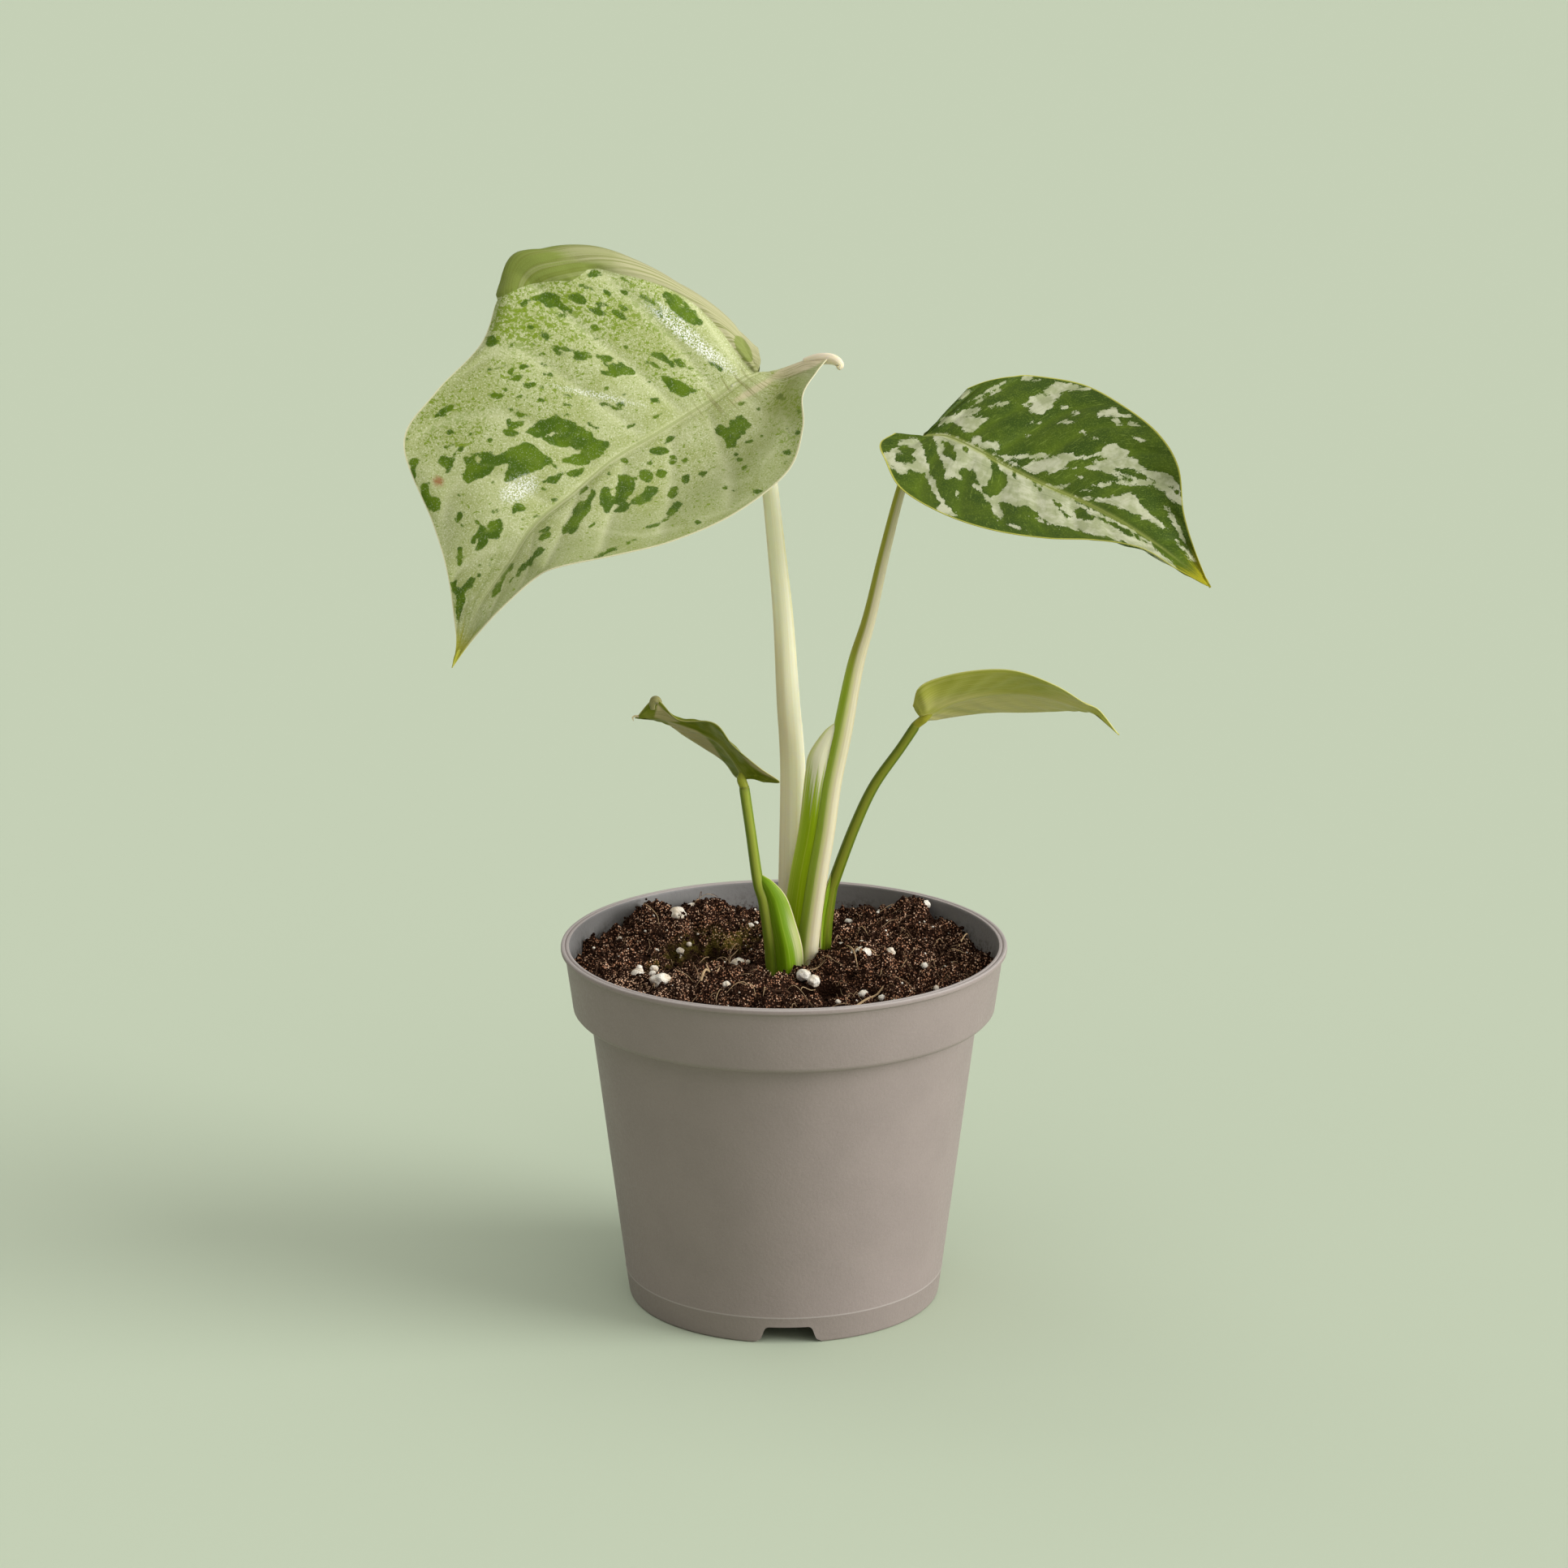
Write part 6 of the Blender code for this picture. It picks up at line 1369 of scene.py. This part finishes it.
stalkFor("largeStalk", largeStalk, largeBlade, 0.19, stalkMaterial("creamStalk", stalkLooks["large"]),
         "petiole_large")
stalkFor("rightStalk", rightStalk, rightBlade, 0.17, stalkMaterial("stripedStalk", stalkLooks["right"]),
         "petiole_right", rightSheath, sheathMaterial("stripedSheath", stalkLooks["sheathRight"]))
stalkFor("smallLeftStalk", smallLeftStalk, smallLeftBlade, 0.17,
         stalkMaterial("greenStalkLeft", stalkLooks["smallLeft"]), "petiole_small_left", smallLeftSheath,
         sheathMaterial("smallSheathLeft", stalkLooks["sheathLeft"]), 0.35)
stalkFor("smallRightStalk", smallRightStalk, smallRightBlade, 0.17,
         stalkMaterial("greenStalkRight", stalkLooks["smallRight"]), "petiole_small_right", smallRightSheath,
         sheathMaterial("smallSheathRight", stalkLooks["sheathSmall"]), 0.35)

# Dried ends: the large leaf's near lobe curls into a finger, the small left leaf's tip into a knob and a hair
curls = [("lobeFinger", "blade_large", (0.80, 0.72, 0.55), (0.62, 0.50, 0.34),
          [((0.0050, 0.0088, 0.2548), 0.0008), ((0.0080, 0.0076, 0.2556), 0.0013), ((0.0104, 0.0064, 0.2560), 0.0015),
           ((0.0125, 0.0054, 0.2560), 0.0014), ((0.0140, 0.0046, 0.2554), 0.0012), ((0.0146, 0.0042, 0.2545), 0.0010),
           ((0.0140, 0.0038, 0.2538), 0.0006)]),
         ("leafKnob", "blade_small_left", (0.30, 0.28, 0.12), (0.16, 0.16, 0.05),
          [((-0.0346, -0.0026, 0.1636), 0.0006), ((-0.0347, -0.0024, 0.1650), 0.0010),
           ((-0.0341, -0.0022, 0.1660), 0.0013), ((-0.0334, -0.0022, 0.1656), 0.0011),
           ((-0.0333, -0.0024, 0.1645), 0.0006)]),
         ("leafHair", "blade_small_left", (0.58, 0.52, 0.34), (0.40, 0.16, 0.08),
          [((-0.0380, -0.0010, 0.1612), 0.0004), ((-0.0393, -0.0012, 0.1616), 0.00025),
           ((-0.0401, -0.0014, 0.1612), 0.00022), ((-0.0399, -0.0014, 0.1603), 0.0001)])]
for name, node, main, shade, line in curls:
    curl = roundStalk(name, line, 24, 60, 0.06)
    finishPiece(curl, stalkMaterial(name, {"main": main, "shade": shade, "bands": []}, 0.6), None)
print("stalks ready")

# The stem's root stock is buried, and keeps its solid
stockLook = {"pale": (0.45, 0.38, 0.2), "dark": (0.2, 0.13, 0.06)}
stockMat = startMaterial("rootStock", 0.7)
stockColour = tint(grain(objectPlace(), 300.0, 3.0), stockLook["pale"], stockLook["dark"])
onto("Base Color", stockColour)
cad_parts["stem_base"].data.materials.clear()
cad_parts["stem_base"].data.materials.append(stockMat)


scatter = {
    "grains": [(-0.0123, 0.0036, 0.0019), (-0.0326, -0.0149, 0.0029), (-0.0393, -0.0077, 0.0017),
               (0.0212, -0.0010, 0.0021), (0.0206, 0.0040, 0.0018), (0.0286, 0.0012, 0.0014),
               (0.0052, -0.0087, 0.0018), (0.0080, -0.0150, 0.0018), (-0.0148, -0.0273, 0.0014),
               (-0.0294, 0.0349, 0.0023), (-0.0255, 0.0415, 0.0013), (0.0284, -0.0217, 0.0012),
               (0.0377, -0.0106, 0.0011), (-0.0349, -0.0022, 0.0011), (0.0230, 0.0411, 0.0014),
               (0.0392, 0.0380, 0.0013), (0.0434, -0.0027, 0.0011), (-0.0447, 0.0233, 0.0011)],
    "smallCount": 34, "smallRadius": (0.0006, 0.0011), "spread": 0.0470, "gap": 0.0006,
    "stemPlace": (0.0040, 0.0068), "stemSurround": 0.0135, "seed": 7,
    "dustCount": 150, "dustRadius": (0.00018, 0.0004),
    "crumbCount": 4600, "crumbRadius": (0.00024, 0.00075), "crumbSpread": 0.0560,
    "fibreCount": 190, "fibreLength": (0.0025, 0.0080), "fibreRadius": (0.00005, 0.00012), "fibreSpread": 0.054,
    # From x, y to x, y, then thickness, tone and how far it arches up
    "twigs": [((-0.0225, -0.0145), (-0.0170, -0.0051), 0.00035, 0.9, 0.0010),
              ((-0.0196, -0.0098), (-0.0212, -0.0052), 0.00022, 0.9, 0.0010),
              ((-0.0156, 0.0096), (-0.0129, 0.0223), 0.00022, 0.5, 0.0030),
              ((0.0179, -0.0335), (0.0286, -0.0109), 0.00032, 0.8, 0.0012),
              ((0.0200, -0.0348), (0.0257, -0.0265), 0.00024, 1.0, 0.0008),
              ((-0.0034, -0.0194), (0.0019, -0.0244), 0.00055, 0.1, 0.0006),
              ((0.0167, 0.0036), (0.0195, -0.0080), 0.00025, 0.7, 0.0008),
              ((0.0472, 0.0110), (0.0510, 0.0200), 0.00022, 0.8, 0.0008)],
}


def scatteredGrains(rng):
    placed = list(scatter["grains"])
    while len(placed) < len(scatter["grains"]) + scatter["smallCount"]:
        reach = scatter["spread"] * math.sqrt(rng.random())
        turn = rng.uniform(0, math.tau)
        x, y = reach * math.cos(turn), reach * math.sin(turn)
        radius = rng.uniform(*scatter["smallRadius"])
        clear = all(math.hypot(x - gx, y - gy) > radius + gr + scatter["gap"] for gx, gy, gr in placed)
        fromStem = math.hypot(x - scatter["stemPlace"][0], y - scatter["stemPlace"][1])
        if clear and fromStem > scatter["stemSurround"]:
            placed.append((x, y, radius))
    return placed


def lumpShape(subdivisions):
    deselectAll()
    bpy.ops.mesh.primitive_ico_sphere_add(subdivisions=subdivisions, radius=1.0)
    ball = bpy.context.object
    points = getPoints(ball.data)
    faces = [tuple(p.vertices) for p in ball.data.polygons]
    bpy.data.objects.remove(ball, do_unlink=True)
    return points, faces


def manyLumps(name, lumps, subdivisions, unevenness, rng):
    # One mesh of many lumps: centre, radius, squash and tone
    points, faces = lumpShape(subdivisions)
    allPoints, allFaces, tones = [], [], []
    for centre, radius, squash, tone in lumps:
        turn = np.array(Vector((rng.gauss(0, 1), rng.gauss(0, 1), rng.gauss(0, 1))).normalized())
        knobs = np.array([rng.uniform(1 - unevenness, 1 + unevenness) for _ in points])
        if subdivisions > 1:
            shift = Vector((rng.uniform(0, 9), rng.uniform(0, 9), rng.uniform(0, 9)))
            knobs = np.array([1 + unevenness * 1.6 * noise.noise(Vector(p) * 1.6 + shift) for p in points])
        shape = points * knobs[:, None]
        shape = shape + np.outer(shape @ turn, turn) * rng.uniform(-0.25, 0.35)
        shape = shape * (radius, radius, radius * squash)
        start = len(allPoints) * len(points)
        allPoints.append(shape + centre)
        allFaces += [tuple(i + start for i in face) for face in faces]
        tones += [tone] * len(points)
    return fromParts(name, allPoints, allFaces, tones)


def fromParts(name, allPoints, allFaces, tones):
    mesh = bpy.data.meshes.new(name)
    mesh.from_pydata(np.concatenate(allPoints).tolist(), [], allFaces)
    piece = bpy.data.objects.new(name, mesh)
    bpy.context.collection.objects.link(piece)
    writeField(mesh, "tone", tones)
    return piece


def manyTubes(name, lines, around=6, steps=12):
    # One mesh of thin tubes: points, radii and tone
    allPoints, allFaces, tones = [], [], []
    t = np.linspace(0, 1, steps)
    turn = np.arange(around)[None, :, None] / around * math.tau
    for centres, radii, tone in lines:
        middle = smoothThrough(centres, t)
        run = np.gradient(middle, axis=0)
        side = np.cross(run, (0.31, 0.17, 0.93))
        side /= np.linalg.norm(side, axis=1)[:, None]
        out = np.cross(side, run / np.linalg.norm(run, axis=1)[:, None])
        radius = smoothThrough([[r] for r in radii], t)[:, :, None]
        rings = middle[:, None] + radius * (side[:, None] * np.cos(turn) + out[:, None] * np.sin(turn))
        start = len(allPoints) * steps * around
        allPoints.append(rings.reshape(-1, 3))
        for k in range(steps - 1):
            for j in range(around):
                here, beside = start + k * around + j, start + k * around + (j + 1) % around
                allFaces.append((here, here + around, beside + around, beside))
        allFaces.append(tuple(start + j for j in range(around)))
        allFaces.append(tuple(start + steps * around - 1 - j for j in range(around)))
        tones += [tone] * (steps * around)
    return fromParts(name, allPoints, allFaces, tones)


def alongGround(start, end, arch, rng, wobble):
    # Four points from one place to another, lying on the earth and arching up between
    points = []
    for share, up in ((0.0, 0.0), (0.33, 0.8), (0.67, 1.0), (1.0, 0.35)):
        x = start[0] + (end[0] - start[0]) * share + rng.uniform(-wobble, wobble)
        y = start[1] + (end[1] - start[1]) * share + rng.uniform(-wobble, wobble)
        points.append(potAxis + np.array([x, y, soilSurface(x, y) + 0.0007 + arch * up]))
    return points


fibreLook = {"dark": (0.07, 0.030, 0.015), "pale": (0.52, 0.36, 0.20)}
perliteLook = {"white": (0.88, 0.83, 0.73), "stained": (0.72, 0.60, 0.45), "pits": (0.26, 0.16, 0.09)}


def fibreMaterial():
    mat = startMaterial("woodyFibre", 0.8, 0.2)
    streaks = grain(stretched(objectPlace(), (1.0, 1.0, 3.0)), 1500.0, 2.0, 0.6)
    tone = maths("MULTIPLY_ADD", streaks, 0.5, plus(field("tone"), -0.25))
    colour = tint(between(tone, 0.0, 1.0), fibreLook["dark"], fibreLook["pale"])
    onto("Base Color", colour)
    bumpy(streaks, 0.0001, 0.6)
    return mat


def perliteMaterial():
    mat = startMaterial("perlite", 0.85, 0.3)
    place = objectPlace()
    colour = tint(between(grain(place, 260.0, 3.0, 0.6), 0.4, 0.65), perliteLook["white"], perliteLook["stained"])
    colour = tint(between(grain(place, 900.0, 3.0, 0.7), 0.58, 0.70, 0.0, 0.6), colour, perliteLook["pits"])
    onto("Base Color", colour)
    bumpy(grain(place, 1800.0, 3.0, 0.7), 0.00035, 0.9)
    return mat


def somewhere(rng):
    reach, turn = scatter["crumbSpread"] * math.sqrt(rng.random()), rng.uniform(0, math.tau)
    return reach * math.cos(turn), reach * math.sin(turn)


rng = random.Random(scatter["seed"])
perlite = perliteMaterial()
big, small = [], []
for x, y, radius in scatteredGrains(rng):
    centre = potAxis + np.array([x, y, soilHeight(x, y) + radius * 0.35])
    (big if radius > 0.00105 else small).append((centre, radius, rng.uniform(0.8, 1.0), 0))
bigGrains = manyLumps("perliteGrains", big, 4, 0.15, rng)
finishPiece(bigGrains, perlite, None, 180)
for _ in range(scatter["dustCount"]):
    x, y = somewhere(rng)
    radius = rng.uniform(*scatter["dustRadius"])
    small.append((potAxis + np.array([x, y, soilSurface(x, y) + radius * 0.3]), radius, 0.9, 0))
smallGrains = manyLumps("perliteCrumbs", small, 2, 0.16, rng)
finishPiece(smallGrains, perlite, None, 180)

crumbs = []
while len(crumbs) < scatter["crumbCount"]:
    x, y = somewhere(rng)
    if clodHeight(x, y) < rng.uniform(-0.0030, -0.0006):
        continue   # few lie in the hollows
    radius = rng.uniform(*scatter["crumbRadius"]) * rng.uniform(0.6, 1.0)
    crumbs.append((potAxis + np.array([x, y, soilSurface(x, y) + radius * 0.3]), radius, rng.uniform(0.7, 1.0),
                   0.85 * rng.random() ** 2))
soilCrumbs = manyLumps("soilCrumbs", crumbs, 1, 0.25, rng)
finishPiece(soilCrumbs, bpy.data.materials["pottingSoil"], None, 180)

threads = []
for start, end, radius, tone, arch in scatter["twigs"]:
    threads.append((alongGround(start, end, arch, rng, 0.0004), (radius, radius, radius * 0.9, radius * 0.4), tone))
for _ in range(scatter["fibreCount"]):
    x, y = somewhere(rng)
    x, y = x * 0.93, y * 0.93
    turn, length = rng.uniform(0, math.tau), rng.uniform(*scatter["fibreLength"]) / 2
    dx, dy = math.cos(turn) * length, math.sin(turn) * length * 0.8
    radius = rng.uniform(*scatter["fibreRadius"])
    if max(math.hypot(x + dx, y + dy), math.hypot(x - dx, y - dy)) < scatter["fibreSpread"]:
        line = alongGround((x - dx, y - dy), (x + dx, y + dy), rng.uniform(0.0, 0.0018), rng, 0.0006)
        threads.append((line, (radius * 0.5, radius, radius, radius * 0.3), rng.random()))
soilFibres = manyTubes("soilFibres", threads)
finishPiece(soilFibres, fibreMaterial(), None, 180)
print("soil crumbs ready")


def setStudio():
    deselectAll()
    bpy.ops.object.camera_add(location=tuple(cameraPlace), rotation=(math.pi / 2 - photo["tilt"], 0, 0))
    camera = bpy.context.object
    camera.data.lens = photo["lens"]
    camera.data.sensor_width = photo["sensor"]
    camera.data.clip_start = 0.05
    camera.data.clip_end = 40.0
    bpy.context.scene.camera = camera

    bpy.ops.mesh.primitive_plane_add(size=lighting["floorSize"], location=(potAxis[0], potAxis[1] + 3, 0))
    floor = named(bpy.context.object, "studioFloor")
    mat = startMaterial("sagePaper", 0.95, 0.0)
    paper = tint(between(grain(objectPlace(), 900.0, 2.0), 0.3, 0.7, 0.0, 0.02), lighting["floorColour"],
                 tuple(c * lighting["floorFleck"] for c in lighting["floorColour"]))
    onto("Base Color", paper)
    floor.data.materials.append(mat)

    world = bpy.data.worlds.new("studioLight")
    bpy.context.scene.world = world
    world.use_nodes = True
    background = world.node_tree.nodes["Background"]
    background.inputs["Color"].default_value = (*lighting["fillColour"], 1.0)
    background.inputs["Strength"].default_value = lighting["fillStrength"]

    for lamp in lighting["lamps"]:
        # Azimuth runs from +x towards the camera
        azimuth, elevation = math.radians(lamp["azimuth"]), math.radians(lamp["elevation"])
        towards = Vector((math.cos(azimuth) * math.cos(elevation), -math.sin(azimuth) * math.cos(elevation),
                          math.sin(elevation)))
        bpy.ops.object.light_add(type="SUN", location=tuple(towards),
                                 rotation=towards.to_track_quat("Z", "Y").to_euler())
        light = bpy.context.object
        light.data.energy = lamp["strength"]
        light.data.angle = math.radians(lamp["softness"])
        light.data.color = lamp["colour"]
    bpy.context.scene.view_settings.view_transform = "Standard"


setStudio()
print("studio ready")
